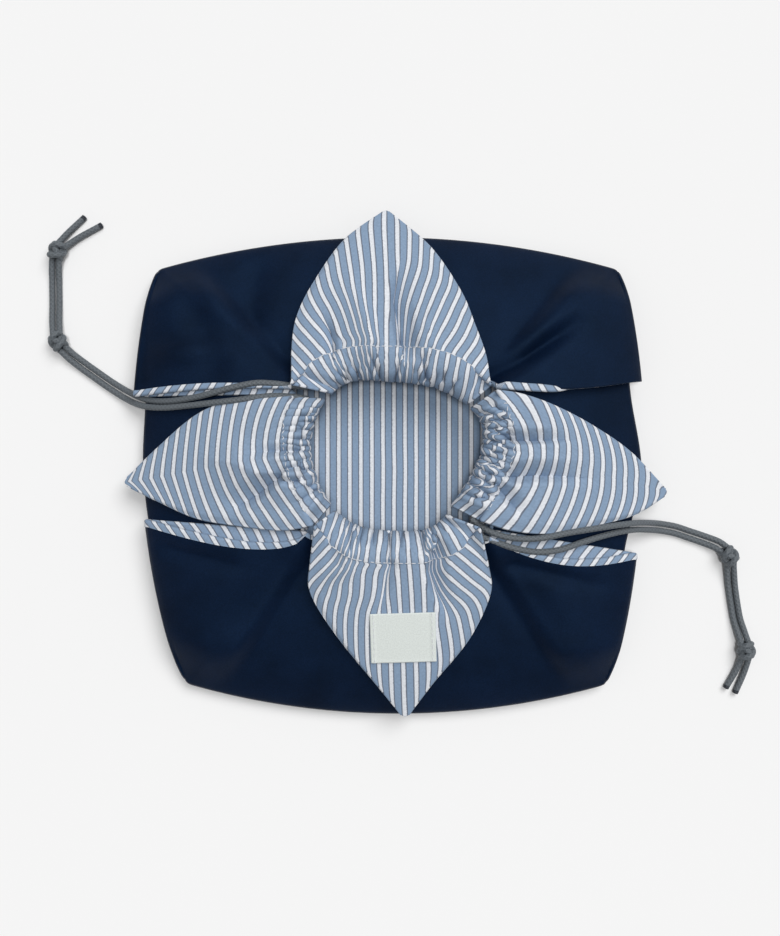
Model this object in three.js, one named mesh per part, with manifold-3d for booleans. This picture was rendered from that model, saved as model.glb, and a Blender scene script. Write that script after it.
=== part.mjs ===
import * as THREE from 'three';
import { mergeVertices } from 'three/addons/utils/BufferGeometryUtils.js';
import Module from 'manifold-3d';

// A lined square of cloth drawn up into a pouch and laid open on a flat surface.
// Millimetres, +Z up, the surface at Z = 0, +Y towards the north petal.

// Cloth and clearances
const CLOTH = 1.0;
const GAP = 0.3;
const PETAL_CLOTH = 1.6;
const LABEL_CLOTH = 0.8;
const CORD_RADIUS = 1.5;

// Body heights
const RIM_HEIGHT = 24;
const EDGE_HEIGHT = 5.8;
const FLOOR_INSET = 4.6;
const SEAT = GAP / 2 + CLOTH;

// Ears are flat pleats: a lower layer and an upper layer stacked on the wall
const LAYER_RISE = 3.2;
const WALL_STEPS = [0.06, 0.13, 0.22, 0.35, 0.6, 1];
const EAR_STACKED = 0.13;
const EAR_TUCK = [0.13, 0.5];
const CORNER_SPREAD = 0.06;
const LIFT_WIDTH = 10;

// Mouth, and how far the wall's rim stands back under the casing
const MOUTH = { x: 0.5, y: 3.5, halfWidth: 41, halfDepth: 37, power: 2.5 };
const RIM_SETBACK = 3.4;

// Petals
const PETAL_LIFT = 3.1;
const PETAL_DROP = 13;
const GATHERS = 10;
const GATHER_DEPTH = 0.8;

const SIDES = [
  { name: 'north', from: 'ne', to: 'nw', bulge: 16.5 },
  { name: 'west', from: 'nw', to: 'sw', bulge: 14.5 },
  { name: 'south', from: 'sw', to: 'se', bulge: 15.5 },
  { name: 'east', from: 'se', to: 'ne', bulge: 12.5 },
];

// corner: on the outline; tip: outer end of the slit; over, under: where the two lips of the
// slit start beside the casing; open: how far the upper lip draws back; skew: where it is widest
const EARS = {
  nw: { corner: [-117, 95], tip: [-124, 37], over: [-51.2, 41.2], under: [-51.2, 31.2], open: 2.0, skew: 0.6 },
  ne: { corner: [111, 95], tip: [120, 38.6], over: [48.5, 41.2], under: [51.0, 35.5], open: -2.2, skew: 1.0 },
  sw: { corner: [-103.5, -109.5], tip: [-119.5, -29.3], over: [-43.5, -38.5], under: [-44.5, -33.3], open: 7.0, skew: 0.9 },
  se: { corner: [103.5, -110], tip: [118, -45.5], over: [45.2, -39], under: [45.3, -32.4], open: 5.5, skew: 0.75 },
};

// Long soft dents in the walls, from one point to another
const DENTS = [
  { from: [50, 46], to: [92, 76], width: 7, depth: 2.6 },
  { from: [-56, 47], to: [-92, 70], width: 8, depth: 1.6 },
  { from: [-122, 53], to: [-78, 54], width: 6, depth: -1.4 },
  { from: [-52, -50], to: [-84, -84], width: 9, depth: 1.8 },
  { from: [54, -52], to: [82, -92], width: 9, depth: 1.8 },
];

// Rows from the mouth's lip out to the tip. out and side are measured from the mouth's middle
// along and across the petal; left and right are its two edges, seen looking outwards.
const PETALS = [
  {
    name: 'north', axis: 90, over: ['nw', 'ne'],
    rows: [
      { out: 36.6, side: -4.5, leftOut: 28.5, leftSide: -31.1, rightOut: 26.6, rightSide: 30.3 },
      { out: 51.0, side: -4.5, leftOut: 35.7, leftSide: -45.9, rightOut: 35.7, rightSide: 42.3 },
      { out: 67.0, side: -4.5, leftOut: 50.2, leftSide: -47.5, rightOut: 47.3, rightSide: 40.0 },
      { out: 83.2, side: -4.5, leftOut: 66.4, leftSide: -43.4, rightOut: 62.5, rightSide: 33.5 },
      { out: 98.8, side: -5.0, leftOut: 84.3, leftSide: -36.9, rightOut: 79.0, rightSide: 26.5 },
      { out: 111.0, side: -5.5, leftOut: 105.1, leftSide: -26.5, rightOut: 102.7, rightSide: 15.1 },
      { out: 120.6, side: -5.5, leftOut: 118.6, leftSide: -7.9, rightOut: 118.6, rightSide: -3.0 },
    ],
    folds: [
      { at: 0.14, width: 0.13, depth: 1.6 },
      { at: -0.45, width: 0.18, depth: -0.8 },
      { at: 0.62, width: 0.16, depth: -0.9 },
    ],
  },
  {
    name: 'east', axis: 0, over: [],
    rows: [
      { out: 41.2, side: -4.7, leftOut: 36.5, leftSide: -21.8, rightOut: 28.4, rightSide: 21.9 },
      { out: 54.7, side: -1.9, leftOut: 46.1, leftSide: -30.5, rightOut: 39.9, rightSide: 30.5 },
      { out: 68.9, side: 1.0, leftOut: 59.3, leftSide: -29.2, rightOut: 54.5, rightSide: 35.0 },
      { out: 84.8, side: 4.8, leftOut: 75.1, leftSide: -24.6, rightOut: 73.7, rightSide: 37.1 },
      { out: 102.1, side: 9.6, leftOut: 93.8, leftSide: -16.6, rightOut: 95.8, rightSide: 35.0 },
      { out: 119.0, side: 14.1, leftOut: 113.1, leftSide: -4.1, rightOut: 115.6, rightSide: 30.2 },
      { out: 132.2, side: 17.5, leftOut: 129.7, leftSide: 14.6, rightOut: 130.2, rightSide: 21.0 },
    ],
    folds: [
      { at: -0.2, width: 0.16, depth: 1.4 },
      { at: 0.3, width: 0.2, depth: -1.0 },
    ],
  },
  {
    name: 'south', axis: 270, over: ['sw', 'se'],
    rows: [
      { out: 36.7, side: 0.2, leftOut: 28.1, leftSide: -23.6, rightOut: 26.7, rightSide: 29.2 },
      { out: 50.1, side: 0.2, leftOut: 39.1, leftSide: -38.0, rightOut: 38.6, rightSide: 38.3 },
      { out: 65.1, side: -0.8, leftOut: 52.6, leftSide: -43.4, rightOut: 51.2, rightSide: 42.2 },
      { out: 81.4, side: -1.8, leftOut: 66.4, leftSide: -44.2, rightOut: 65.5, rightSide: 42.0 },
      { out: 98.9, side: -2.8, leftOut: 87.7, leftSide: -34.8, rightOut: 85.8, rightSide: 32.1 },
      { out: 115.6, side: -3.3, leftOut: 108.8, leftSide: -19.5, rightOut: 108.3, rightSide: 12.8 },
      { out: 126.8, side: -3.8, leftOut: 124.8, leftSide: -6.3, rightOut: 124.8, rightSide: -1.4 },
    ],
    folds: [
      { at: -0.05, width: 0.14, depth: 1.2 },
      { at: 0.75, width: 0.14, depth: -0.9 },
      { at: -0.75, width: 0.14, depth: -0.9 },
    ],
  },
  {
    name: 'west', axis: 180, over: [],
    rows: [
      { out: 42.0, side: 1.9, leftOut: 34.4, leftSide: -20.5, rightOut: 35.9, rightSide: 24.7 },
      { out: 53.1, side: 0.4, leftOut: 41.6, leftSide: -32.9, rightOut: 47.8, rightSide: 25.7 },
      { out: 66.8, side: -1.9, leftOut: 54.3, leftSide: -34.5, rightOut: 63.9, rightSide: 27.3 },
      { out: 81.7, side: -3.8, leftOut: 73.5, leftSide: -33.7, rightOut: 80.2, rightSide: 25.6 },
      { out: 98.2, side: -6.7, leftOut: 95.8, leftSide: -30.5, rightOut: 97.3, rightSide: 17.1 },
      { out: 117.0, side: -10.2, leftOut: 114.5, leftSide: -22.9, rightOut: 116.0, rightSide: 3.5 },
      { out: 133.1, side: -12.6, leftOut: 130.6, leftSide: -15.6, rightOut: 130.6, rightSide: -9.2 },
    ],
    folds: [
      { at: 0.02, width: 0.13, depth: 1.5 },
      { at: 0.5, width: 0.2, depth: -0.9 },
    ],
  },
];

// Section of the gathered casing, from the lip inside the mouth over the cord to the stitch line
const CASING = [
  { across: 0, rise: -3 },
  { across: 0, rise: 3.2 },
  { across: 0.18, rise: 7 },
  { across: 0.5, rise: 8.2 },
  { across: 0.82, rise: 6.4 },
  { across: 1, rise: 3.2 },
];
const LEAF_STEPS = [0.25, 0.5, 0.72, 0.9, 1];

const LABEL = { x: 3.3, y: -83.4, width: 31, height: 24, turn: 1.7, columns: 4, rows: 3 };

// Each strand leaves a casing end, crosses the ear, drops to the surface and runs through two knots
const STRANDS = {
  cord_left_upper: [
    [-41.5, 36.2, 28.2], [-46.2, 36.6, 28.6], [-51.5, 37.2, 29.2], [-58.5, 37.9, 29.4], [-66.3, 38.2, 29.2],
    [-80.3, 35.7, 27.6], [-88.2, 33.6, 25.6], [-96.4, 31.9, 22.3], [-109.9, 30.3, 16.8], [-119.7, 30.8, 11.6],
    [-126.2, 32.5, 8.6], [-133.1, 35.7, 4], [-141.1, 40.4, 1.7], [-148.6, 45.6, 1.7], [-155.6, 50.6, 1.8],
    [-161.8, 55.6, 3.2], [-166.0, 60.8, 4.9], [-167.4, 68.4, 3.2], [-167.8, 80.5, 1.7], [-167.9, 90.5, 1.8],
    [-167.6, 98.4, 3.4], [-166.4, 104.9, 4.9], [-160.2, 110.8, 3.0], [-146.6, 118.9, 1.7],
  ],
  cord_left_lower: [
    [-42.5, 30.6, 28.2], [-46.6, 31.4, 28.9], [-51.5, 31.8, 29.6], [-60.0, 31.6, 29.4], [-73.5, 29.4, 28.6],
    [-87.7, 27.7, 25.6], [-101.0, 26.7, 20.6], [-112.1, 26.7, 16.4], [-120.8, 27.5, 12.2], [-127.4, 29.1, 8.4],
    [-134.3, 32.1, 3.4], [-143.1, 37.5, 1.7], [-150.6, 42.8, 1.7], [-157.6, 47.8, 1.8], [-164.2, 53.4, 3.2],
    [-169.2, 59.6, 4.9], [-170.9, 68.4, 3.2], [-171.3, 80.5, 1.7], [-171.4, 90.5, 1.8], [-171.1, 98.4, 3.4],
    [-169.7, 105.9, 4.9], [-164.9, 112.9, 3.2], [-155.1, 122.9, 1.7],
  ],
  cord_right_upper: [
    [35.6, -26.4, 28.2], [39.6, -29.4, 28.6], [44.4, -32.4, 29.8], [53.6, -35.3, 29.8], [67.4, -35.8, 29],
    [81.5, -33.3, 27.6], [96.6, -31.1, 24.4], [108.7, -29.7, 19.6], [118.0, -29.1, 13.4], [124.9, -29.3, 8.0],
    [131.2, -29.9, 3.4], [139.6, -31.4, 1.7], [146.6, -33.7, 1.7], [154.6, -36.4, 1.9], [162.0, -39.6, 3.4],
    [166.8, -45.0, 4.9], [168.0, -52.4, 3.2], [168.9, -60.1, 1.7], [170.1, -69.1, 1.7], [171.6, -77.5, 1.9],
    [173.6, -84.6, 3.4], [175.4, -92.4, 4.9], [173.8, -102.0, 3.0], [169.0, -114.4, 1.7],
  ],
  cord_right_lower: [
    [33.0, -31.6, 28.2], [37.2, -33.8, 28.8], [41.9, -35.6, 29.4], [48.3, -37.9, 29.6], [57.0, -40.6, 29],
    [67.6, -42.3, 28.2], [78.4, -41.3, 26.4], [89.5, -37.9, 23.4], [100.7, -35.0, 19.0], [110.2, -33.2, 14.6],
    [118.3, -32.5, 10.6], [124.5, -32.8, 7], [130.8, -33.4, 3.2], [138.6, -34.8, 1.7], [145.6, -37.1, 1.7],
    [153.4, -39.8, 1.9], [159.8, -42.6, 3.4], [163.5, -46.6, 4.9], [164.6, -53.0, 3.2], [165.5, -60.6, 1.7],
    [166.8, -69.6, 1.7], [168.3, -78.2, 1.9], [170.3, -85.4, 3.4], [171.9, -92.8, 4.9], [169.8, -101.4, 3.0],
    [164.3, -111.9, 1.7],
  ],
};
const STRAND_STEPS = 25;

// heading: plan direction of the strands through the knot, in degrees
const KNOTS = [
  { name: 'knot_left_inner', at: [-167.7, 60.6, 4.9], heading: 118, strands: ['cord_left_upper', 'cord_left_lower'] },
  { name: 'knot_left_outer', at: [-168.0, 105.4, 4.9], heading: 68, strands: ['cord_left_upper', 'cord_left_lower'] },
  { name: 'knot_right_inner', at: [165.2, -45.8, 4.9], heading: -58, strands: ['cord_right_upper', 'cord_right_lower'] },
  { name: 'knot_right_outer', at: [173.6, -92.6, 4.9], heading: -86, strands: ['cord_right_upper', 'cord_right_lower'] },
];
const WRAPS = [
  { along: -1.5, lean: 24, half: 3.1 },
  { along: 1.5, lean: -24, half: 3.1 },
];

const COLOURS = {
  navy: { color: 0x15243c, roughness: 0.88 },
  lining: { color: 0x9fb0c8, roughness: 0.82 },
  cord: { color: 0x66717a, roughness: 0.75 },
  label: { color: 0xe4ebe6, roughness: 0.8 },
};

const lerp = (a, b, t) => a + (b - a) * t;
const mixPoint = (a, b, t) => [lerp(a[0], b[0], t), lerp(a[1], b[1], t)];
const radians = (degrees) => degrees * Math.PI / 180;

function ease(from, to, x) {
  const t = Math.min(1, Math.max(0, (x - from) / (to - from)));
  return t * t * (3 - 2 * t);
}

function angleOf(point) {
  return Math.atan2(point[1] - MOUTH.y, point[0] - MOUTH.x);
}

function distanceOf(point) {
  return Math.hypot(point[0] - MOUTH.x, point[1] - MOUTH.y);
}

function polar(angle, radius) {
  return [MOUTH.x + radius * Math.cos(angle), MOUTH.y + radius * Math.sin(angle)];
}

function sideCircle(side) {
  const a = EARS[side.from].corner;
  const b = EARS[side.to].corner;
  const chord = Math.hypot(b[0] - a[0], b[1] - a[1]);
  const radius = (chord * chord / 4 + side.bulge * side.bulge) / (2 * side.bulge);
  const normal = [(b[1] - a[1]) / chord, -(b[0] - a[0]) / chord];
  const middle = mixPoint(a, b, 0.5);
  return {
    x: middle[0] + normal[0] * (side.bulge - radius),
    y: middle[1] + normal[1] * (side.bulge - radius),
    radius,
  };
}

const SIDE_CIRCLES = SIDES.map(sideCircle);

// Distance from the mouth's middle to the outline: four shallow arcs with rounded corners
function outlineRadius(angle) {
  const sharpness = 40;
  let sum = 0;
  for (const circle of SIDE_CIRCLES) {
    const dx = MOUTH.x - circle.x;
    const dy = MOUTH.y - circle.y;
    const b = Math.cos(angle) * dx + Math.sin(angle) * dy;
    const c = dx * dx + dy * dy - circle.radius * circle.radius;
    sum += Math.pow(-b + Math.sqrt(b * b - c), -sharpness);
  }
  return Math.pow(sum, -1 / sharpness);
}

function rimRadius(angle) {
  const x = Math.abs(Math.cos(angle) / MOUTH.halfWidth);
  const y = Math.abs(Math.sin(angle) / MOUTH.halfDepth);
  return Math.pow(Math.pow(x, MOUTH.power) + Math.pow(y, MOUTH.power), -1 / MOUTH.power) + RIM_SETBACK;
}

// 0 at the wall's rim, 1 at the outline
function outwards(x, y) {
  const angle = angleOf([x, y]);
  const rim = rimRadius(angle);
  return (distanceOf([x, y]) - rim) / (outlineRadius(angle) - rim);
}

function dentDepth(x, y) {
  let depth = 0;
  for (const dent of DENTS) {
    const dx = dent.to[0] - dent.from[0];
    const dy = dent.to[1] - dent.from[1];
    const t = ((x - dent.from[0]) * dx + (y - dent.from[1]) * dy) / (dx * dx + dy * dy);
    const along = Math.min(1, Math.max(0, t));
    const off = Math.hypot(x - dent.from[0] - dx * along, y - dent.from[1] - dy * along);
    depth += dent.depth * Math.exp(-((off / dent.width) ** 2));
  }
  return depth;
}

function wallHeight(x, y) {
  const t = Math.min(1, Math.max(0, outwards(x, y)));
  const dome = EDGE_HEIGHT + (RIM_HEIGHT - EDGE_HEIGHT) * Math.pow(1 - Math.pow(t, 1.7), 0.8);
  return dome - dentDepth(x, y) * ease(1, 0.8, t);
}

// True where the sheet over the ear comes before it, counterclockwise
function sheetFirst(name) {
  return name === 'nw' || name === 'se';
}

function earCorner(name, towardsSheet) {
  const sign = towardsSheet === sheetFirst(name) ? -1 : 1;
  const angle = angleOf(EARS[name].corner) + sign * CORNER_SPREAD;
  return polar(angle, outlineRadius(angle));
}

// How far the north and south sheets are raised where they pass over an ear's lower layers
function sheetLift(name, x, y) {
  const ear = EARS[name];
  const start = earCorner(name, true);
  const length = Math.hypot(ear.over[0] - start[0], ear.over[1] - start[1]);
  const normal = [-(ear.over[1] - start[1]) / length, (ear.over[0] - start[0]) / length];
  const inward = normal[0] * (0 - start[0]) + normal[1] * (Math.sign(ear.over[1]) * 90 - start[1]);
  const off = ((x - start[0]) * normal[0] + (y - start[1]) * normal[1]) * Math.sign(inward);
  return 2 * LAYER_RISE * ease(LIFT_WIDTH, 0, off);
}

function earEdge(name, s) {
  const ear = EARS[name];
  const angle = lerp(angleOf(ear.corner), angleOf(ear.tip), s);
  const reach = distanceOf(ear.tip) / outlineRadius(angleOf(ear.tip));
  return polar(angle, outlineRadius(angle) * lerp(1, reach, s));
}

// One station of an ear at height s of the wall: layer counts up from the wall, k runs out to the edge,
// share runs from the sheet over the ear to the wall under it. The ear starts as a step at its corner.
function earPoint(name, station, s) {
  const ear = EARS[name];
  const edge = earEdge(name, s);
  const over = mixPoint(earCorner(name, true), ear.over, s);
  const under = mixPoint(earCorner(name, false), ear.under, s);
  const span = Math.max(1, Math.hypot(edge[0] - under[0], edge[1] - under[1]));
  const out = [(edge[0] - under[0]) / span, (edge[1] - under[1]) / span];
  const upper = station.layer > 1.5;
  const root = upper ? over : under;
  const plan = mixPoint(root, edge, station.k);
  if (upper) {
    const draw = ear.open * Math.sin(Math.PI * Math.pow(station.k, ear.skew)) * s ** 3;
    plan[1] += Math.sign(ear.over[1]) * draw;
  }
  plan[0] += out[0] * station.bulge;
  plan[1] += out[1] * station.bulge;
  const turn = sheetFirst(name) ? 2 * station.share - 1 : 1 - 2 * station.share;
  const spread = angleOf(ear.corner) + turn * CORNER_SPREAD;
  const flat = mixPoint(polar(spread, outlineRadius(spread)), mixPoint(ear.over, ear.under, station.share), s);
  const tuck = ease(EAR_TUCK[0], EAR_TUCK[1], s);
  const [x, y] = mixPoint(flat, plan, tuck);
  const layer = lerp(2 - 2 * station.share, station.layer, tuck);
  return [x, y, wallHeight(x, y) + layer * LAYER_RISE * ease(0, EAR_STACKED, s)];
}

function wallPoint(side, q, s) {
  const overSheet = side.name === 'north' || side.name === 'south';
  const root = overSheet ? 'over' : 'under';
  const start = EARS[side.from];
  const end = EARS[side.to];
  const turn = (a, b) => {
    const full = 2 * Math.PI;
    return a + (((b - a) % full) + full) % full * q;
  };
  const outer = turn(angleOf(earCorner(side.from, overSheet)), angleOf(earCorner(side.to, overSheet)));
  const inner = turn(angleOf(start[root]), angleOf(end[root]));
  const startSetback = distanceOf(start[root]) - rimRadius(angleOf(start[root]));
  const endSetback = distanceOf(end[root]) - rimRadius(angleOf(end[root]));
  const setback = startSetback * ease(0.2, 0, q) + endSetback * ease(0.8, 1, q);
  const [x, y] = mixPoint(polar(outer, outlineRadius(outer)), polar(inner, rimRadius(inner) + setback), s);
  let lift = 0;
  if (overSheet) {
    lift = Math.max(sheetLift(side.from, x, y), sheetLift(side.to, x, y)) * ease(0, EAR_STACKED, s);
  }
  return [x, y, wallHeight(x, y) + lift];
}

// Stations once round the body, counterclockwise from the north-east
function bodyStations() {
  const wide = [0, 0.05, 0.12, 0.3, 0.5, 0.7, 0.88, 0.95, 1];
  const narrow = [0, 0.2, 0.4, 0.6, 0.8, 1];
  const pleat = [
    { layer: 2, k: 0.33, bulge: 0 },
    { layer: 2, k: 0.67, bulge: 0 },
    { layer: 2, k: 1, bulge: 0 },
    { layer: 1.5, k: 1, bulge: LAYER_RISE / 2 },
    { layer: 1, k: 1, bulge: 0 },
    { layer: 1, k: 0.5, bulge: 0 },
    { layer: 1, k: 0, bulge: 0 },
    { layer: 0.5, k: 0, bulge: -LAYER_RISE / 2 },
  ];
  const stations = [];
  for (const side of SIDES) {
    const overSheet = side.name === 'north' || side.name === 'south';
    for (const q of overSheet ? wide : narrow) {
      stations.push({ side, q });
    }
    const steps = pleat.map((step, i) => ({ ...step, share: (i + 1) / (pleat.length + 1) }));
    if (!overSheet) {
      steps.reverse();
    }
    for (const step of steps) {
      stations.push({ ear: side.to, step });
    }
  }
  return stations;
}

function stationPoint(station, s) {
  return station.side ? wallPoint(station.side, station.q, s) : earPoint(station.ear, station.step, s);
}

function insetRow(row, inset, height) {
  return row.map(([x, y]) => {
    const angle = angleOf([x, y]);
    const [px, py] = polar(angle, distanceOf([x, y]) - inset);
    return [px, py, height];
  });
}

// Rows of the cloth's middle surface, from the flat bottom round the edge and up to the rim
function bodyRows() {
  const stations = bodyStations();
  const edge = stations.map((station) => stationPoint(station, 0));
  const rows = [
    insetRow(edge, FLOOR_INSET, SEAT),
    insetRow(edge, 1.3, SEAT + 1.4),
    edge,
  ];
  for (const s of WALL_STEPS) {
    rows.push(stations.map((station) => stationPoint(station, s)));
  }
  return rows;
}

function normalsOf(points, triangles) {
  const normals = points.map(() => new THREE.Vector3());
  const vectors = points.map((p) => new THREE.Vector3(...p));
  for (const [a, b, c] of triangles) {
    const u = vectors[b].clone().sub(vectors[a]);
    const v = vectors[c].clone().sub(vectors[a]);
    const face = u.cross(v);
    for (const i of [a, b, c]) {
      normals[i].add(face);
    }
  }
  return normals.map((n) => n.normalize());
}

function solidGeometry(points, triangles) {
  const positions = new Float32Array(points.flat());
  let volume = 0;
  for (const [a, b, c] of triangles) {
    const [p, q, r] = [points[a], points[b], points[c]];
    volume += p[0] * (q[1] * r[2] - q[2] * r[1]) - p[1] * (q[0] * r[2] - q[2] * r[0]);
    volume += p[2] * (q[0] * r[1] - q[1] * r[0]);
  }
  const faces = volume < 0 ? triangles.map(([a, b, c]) => [a, c, b]) : triangles;
  const geometry = new THREE.BufferGeometry();
  geometry.setAttribute('position', new THREE.BufferAttribute(positions, 3));
  geometry.setIndex(faces.flat());
  geometry.computeVertexNormals();
  return geometry;
}

// A wall of a sheet, from start along its normals to start + thickness, which may be negative;
// border lists the sheet's open edge in order
function thickSheet(points, triangles, normals, start, thickness, border) {
  const offset = (d) => points.map((p, i) => [
    p[0] + normals[i].x * d, p[1] + normals[i].y * d, p[2] + normals[i].z * d,
  ]);
  const count = points.length;
  const faces = triangles.map((t) => [...t]);
  for (const [a, b, c] of triangles) {
    faces.push([c + count, b + count, a + count]);
  }
  border.forEach((a, i) => {
    const b = border[(i + 1) % border.length];
    faces.push([b, a, a + count], [b, a + count, b + count]);
  });
  return solidGeometry([...offset(start + thickness), ...offset(start)], faces);
}

function bodyWall(start, thickness) {
  const rows = bodyRows();
  const columns = rows[0].length;
  const points = [[0, -4, SEAT], ...rows.flat()];
  const at = (row, column) => 1 + row * columns + column % columns;
  const triangles = [];
  for (let i = 0; i < columns; i += 1) {
    triangles.push([0, at(0, i + 1), at(0, i)]);
    for (let r = 0; r + 1 < rows.length; r += 1) {
      triangles.push([at(r, i), at(r, i + 1), at(r + 1, i + 1)]);
      triangles.push([at(r, i), at(r + 1, i + 1), at(r + 1, i)]);
    }
  }
  const normals = normalsOf(points, triangles);
  for (let i = 0; i <= columns; i += 1) {
    normals[i] = new THREE.Vector3(0, 0, -1);
  }
  const border = [];
  for (let i = columns - 1; i >= 0; i -= 1) {
    border.push(at(rows.length - 1, i));
  }
  return thickSheet(points, triangles, normals, start, thickness, border);
}

// Smooth value of a table column at position t, 0 at the first row and 1 at the last
function columnAt(rows, key, t) {
  const last = rows.length - 1;
  const x = Math.min(last - 1e-9, Math.max(0, t * last));
  const i = Math.floor(x);
  const f = x - i;
  const value = (j) => rows[Math.min(last, Math.max(0, j))][key];
  const [a, b, c, d] = [value(i - 1), value(i), value(i + 1), value(i + 2)];
  return b + 0.5 * f * (c - a + f * (2 * a - 5 * b + 4 * c - d + f * (3 * (b - c) + d - a)));
}

function petalPlan(petal, row, u) {
  const along = row.out + u * (row.rightOut - row.leftOut) / 2;
  const bend = (row.rightOut + row.leftOut) / 2 - row.out;
  const side = row.side + u * (row.rightSide - row.leftSide) / 2;
  const shift = (row.rightSide + row.leftSide) / 2 - row.side;
  const axis = radians(petal.axis);
  const out = along + u * u * bend;
  const across = side + u * u * shift;
  return [
    MOUTH.x + Math.cos(axis) * out + Math.sin(axis) * across,
    MOUTH.y + Math.sin(axis) * out - Math.cos(axis) * across,
  ];
}

function drapeHeight(petal, x, y) {
  const t = Math.max(0, outwards(x, y));
  const lift = petal.over.map((ear) => sheetLift(ear, x, y));
  return RIM_HEIGHT - PETAL_DROP * Math.pow(t, 1.8) + Math.max(0, ...lift);
}

function foldDepth(petal, u, v) {
  let depth = 0;
  for (const fold of petal.folds) {
    depth += fold.depth * Math.exp(-(((u - fold.at) / fold.width) ** 2));
  }
  return depth * Math.sin(Math.PI * Math.min(1, 0.15 + 0.85 * v));
}

function petalRows(petal) {
  const columns = 2 * GATHERS;
  const table = (t) => {
    const row = {};
    for (const key of Object.keys(petal.rows[0])) {
      row[key] = columnAt(petal.rows.slice(1), key, t);
    }
    return row;
  };
  const sweep = (make) => Array.from({ length: columns + 1 }, (_, i) => make(-1 + 2 * i / columns, i % 2 ? 1 : -1));
  const rows = CASING.map(({ across, rise }) => sweep((u, zigzag) => {
    const lip = petalPlan(petal, petal.rows[0], u);
    const stitch = petalPlan(petal, petal.rows[1], u);
    const scallop = zigzag * 0.05 * (1 - across);
    const [x, y] = mixPoint(lip, stitch, across + scallop);
    const lift = drapeHeight(petal, ...stitch) - RIM_HEIGHT;
    return [x, y, RIM_HEIGHT + rise + Math.max(0, lift) + zigzag * GATHER_DEPTH * ease(-3, 5, rise)];
  }));
  for (const v of LEAF_STEPS) {
    rows.push(sweep((u, zigzag) => {
      const [x, y] = petalPlan(petal, table(v), u);
      const gather = zigzag * GATHER_DEPTH * 0.6 * ease(0.5, 0, v);
      return [x, y, drapeHeight(petal, x, y) + PETAL_LIFT + gather - foldDepth(petal, u, v)];
    }));
  }
  return rows;
}

function sheetSolid(rows, thickness) {
  const columns = rows[0].length;
  const points = rows.flat();
  const at = (row, column) => row * columns + column;
  const triangles = [];
  for (let r = 0; r + 1 < rows.length; r += 1) {
    for (let i = 0; i + 1 < columns; i += 1) {
      triangles.push([at(r, i), at(r, i + 1), at(r + 1, i + 1)]);
      triangles.push([at(r, i), at(r + 1, i + 1), at(r + 1, i)]);
    }
  }
  const last = rows.length - 1;
  const border = [];
  for (let r = 0; r < last; r += 1) {
    border.push(at(r, 0));
  }
  for (let i = 0; i < columns - 1; i += 1) {
    border.push(at(last, i));
  }
  for (let r = last; r > 0; r -= 1) {
    border.push(at(r, columns - 1));
  }
  for (let i = columns - 1; i > 0; i -= 1) {
    border.push(at(0, i));
  }
  border.reverse();
  return thickSheet(points, triangles, normalsOf(points, triangles), -thickness / 2, thickness, border);
}

function labelSolid() {
  const south = PETALS.find((petal) => petal.name === 'south');
  const turn = radians(LABEL.turn);
  const rows = [];
  for (let r = 0; r <= LABEL.rows; r += 1) {
    const row = [];
    for (let i = 0; i <= LABEL.columns; i += 1) {
      const across = LABEL.width * (i / LABEL.columns - 0.5);
      const down = LABEL.height * (0.5 - r / LABEL.rows);
      const x = LABEL.x + across * Math.cos(turn) - down * Math.sin(turn);
      const y = LABEL.y + across * Math.sin(turn) + down * Math.cos(turn);
      const rest = drapeHeight(south, x, y) + PETAL_LIFT + PETAL_CLOTH / 2;
      row.push([x, y, rest + GAP + LABEL_CLOTH / 2]);
    }
    rows.push(row);
  }
  return sheetSolid(rows, LABEL_CLOTH);
}

function strandSolid(route, radius) {
  const path = new THREE.CatmullRomCurve3(route.map((p) => new THREE.Vector3(...p)), false, 'centripetal');
  const section = new THREE.Shape();
  for (let i = 0; i < 8; i += 1) {
    const angle = radians(22.5 + 45 * i);
    section[i ? 'lineTo' : 'moveTo'](radius * Math.cos(angle), radius * Math.sin(angle));
  }
  const options = { steps: STRAND_STEPS, bevelEnabled: false, extrudePath: path };
  return mergeVerticesOf(new THREE.ExtrudeGeometry(section, options));
}

function mergeVerticesOf(geometry) {
  geometry.deleteAttribute('normal');
  geometry.deleteAttribute('uv');
  return mergeVertices(geometry, 1e-4);
}

const wasm = await Module();
wasm.setup();

function toManifold(geometry) {
  return new wasm.Manifold(new wasm.Mesh({
    numProp: 3,
    vertProperties: Float32Array.from(geometry.getAttribute('position').array),
    triVerts: Uint32Array.from(geometry.index.array),
  }));
}

function fromManifold(solid) {
  const mesh = solid.getMesh();
  const geometry = new THREE.BufferGeometry();
  geometry.setAttribute('position', new THREE.BufferAttribute(mesh.vertProperties, 3));
  geometry.setIndex(new THREE.BufferAttribute(mesh.triVerts, 1));
  geometry.computeVertexNormals();
  return geometry;
}

// Two crossing wraps round the pair of strands, bored for both
function knotSolid(knot) {
  let wraps = null;
  for (const wrap of WRAPS) {
    const ring = new THREE.TorusGeometry(wrap.half, CORD_RADIUS, 6, 8);
    ring.rotateY(Math.PI / 2);
    ring.rotateZ(radians(wrap.lean));
    ring.translate(wrap.along, 0, 0);
    ring.rotateZ(radians(knot.heading));
    ring.translate(...knot.at);
    const solid = toManifold(mergeVerticesOf(ring));
    wraps = wraps ? wraps.add(solid) : solid;
  }
  for (const strand of knot.strands) {
    wraps = wraps.subtract(toManifold(strandSolid(STRANDS[strand], CORD_RADIUS + GAP)));
  }
  return fromManifold(wraps);
}

const pouch = new THREE.Group();

function addPiece(name, geometry, colour) {
  const material = new THREE.MeshStandardMaterial({ ...COLOURS[colour], metalness: 0 });
  const mesh = new THREE.Mesh(geometry, material);
  mesh.name = name;
  pouch.add(mesh);
}

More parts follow.
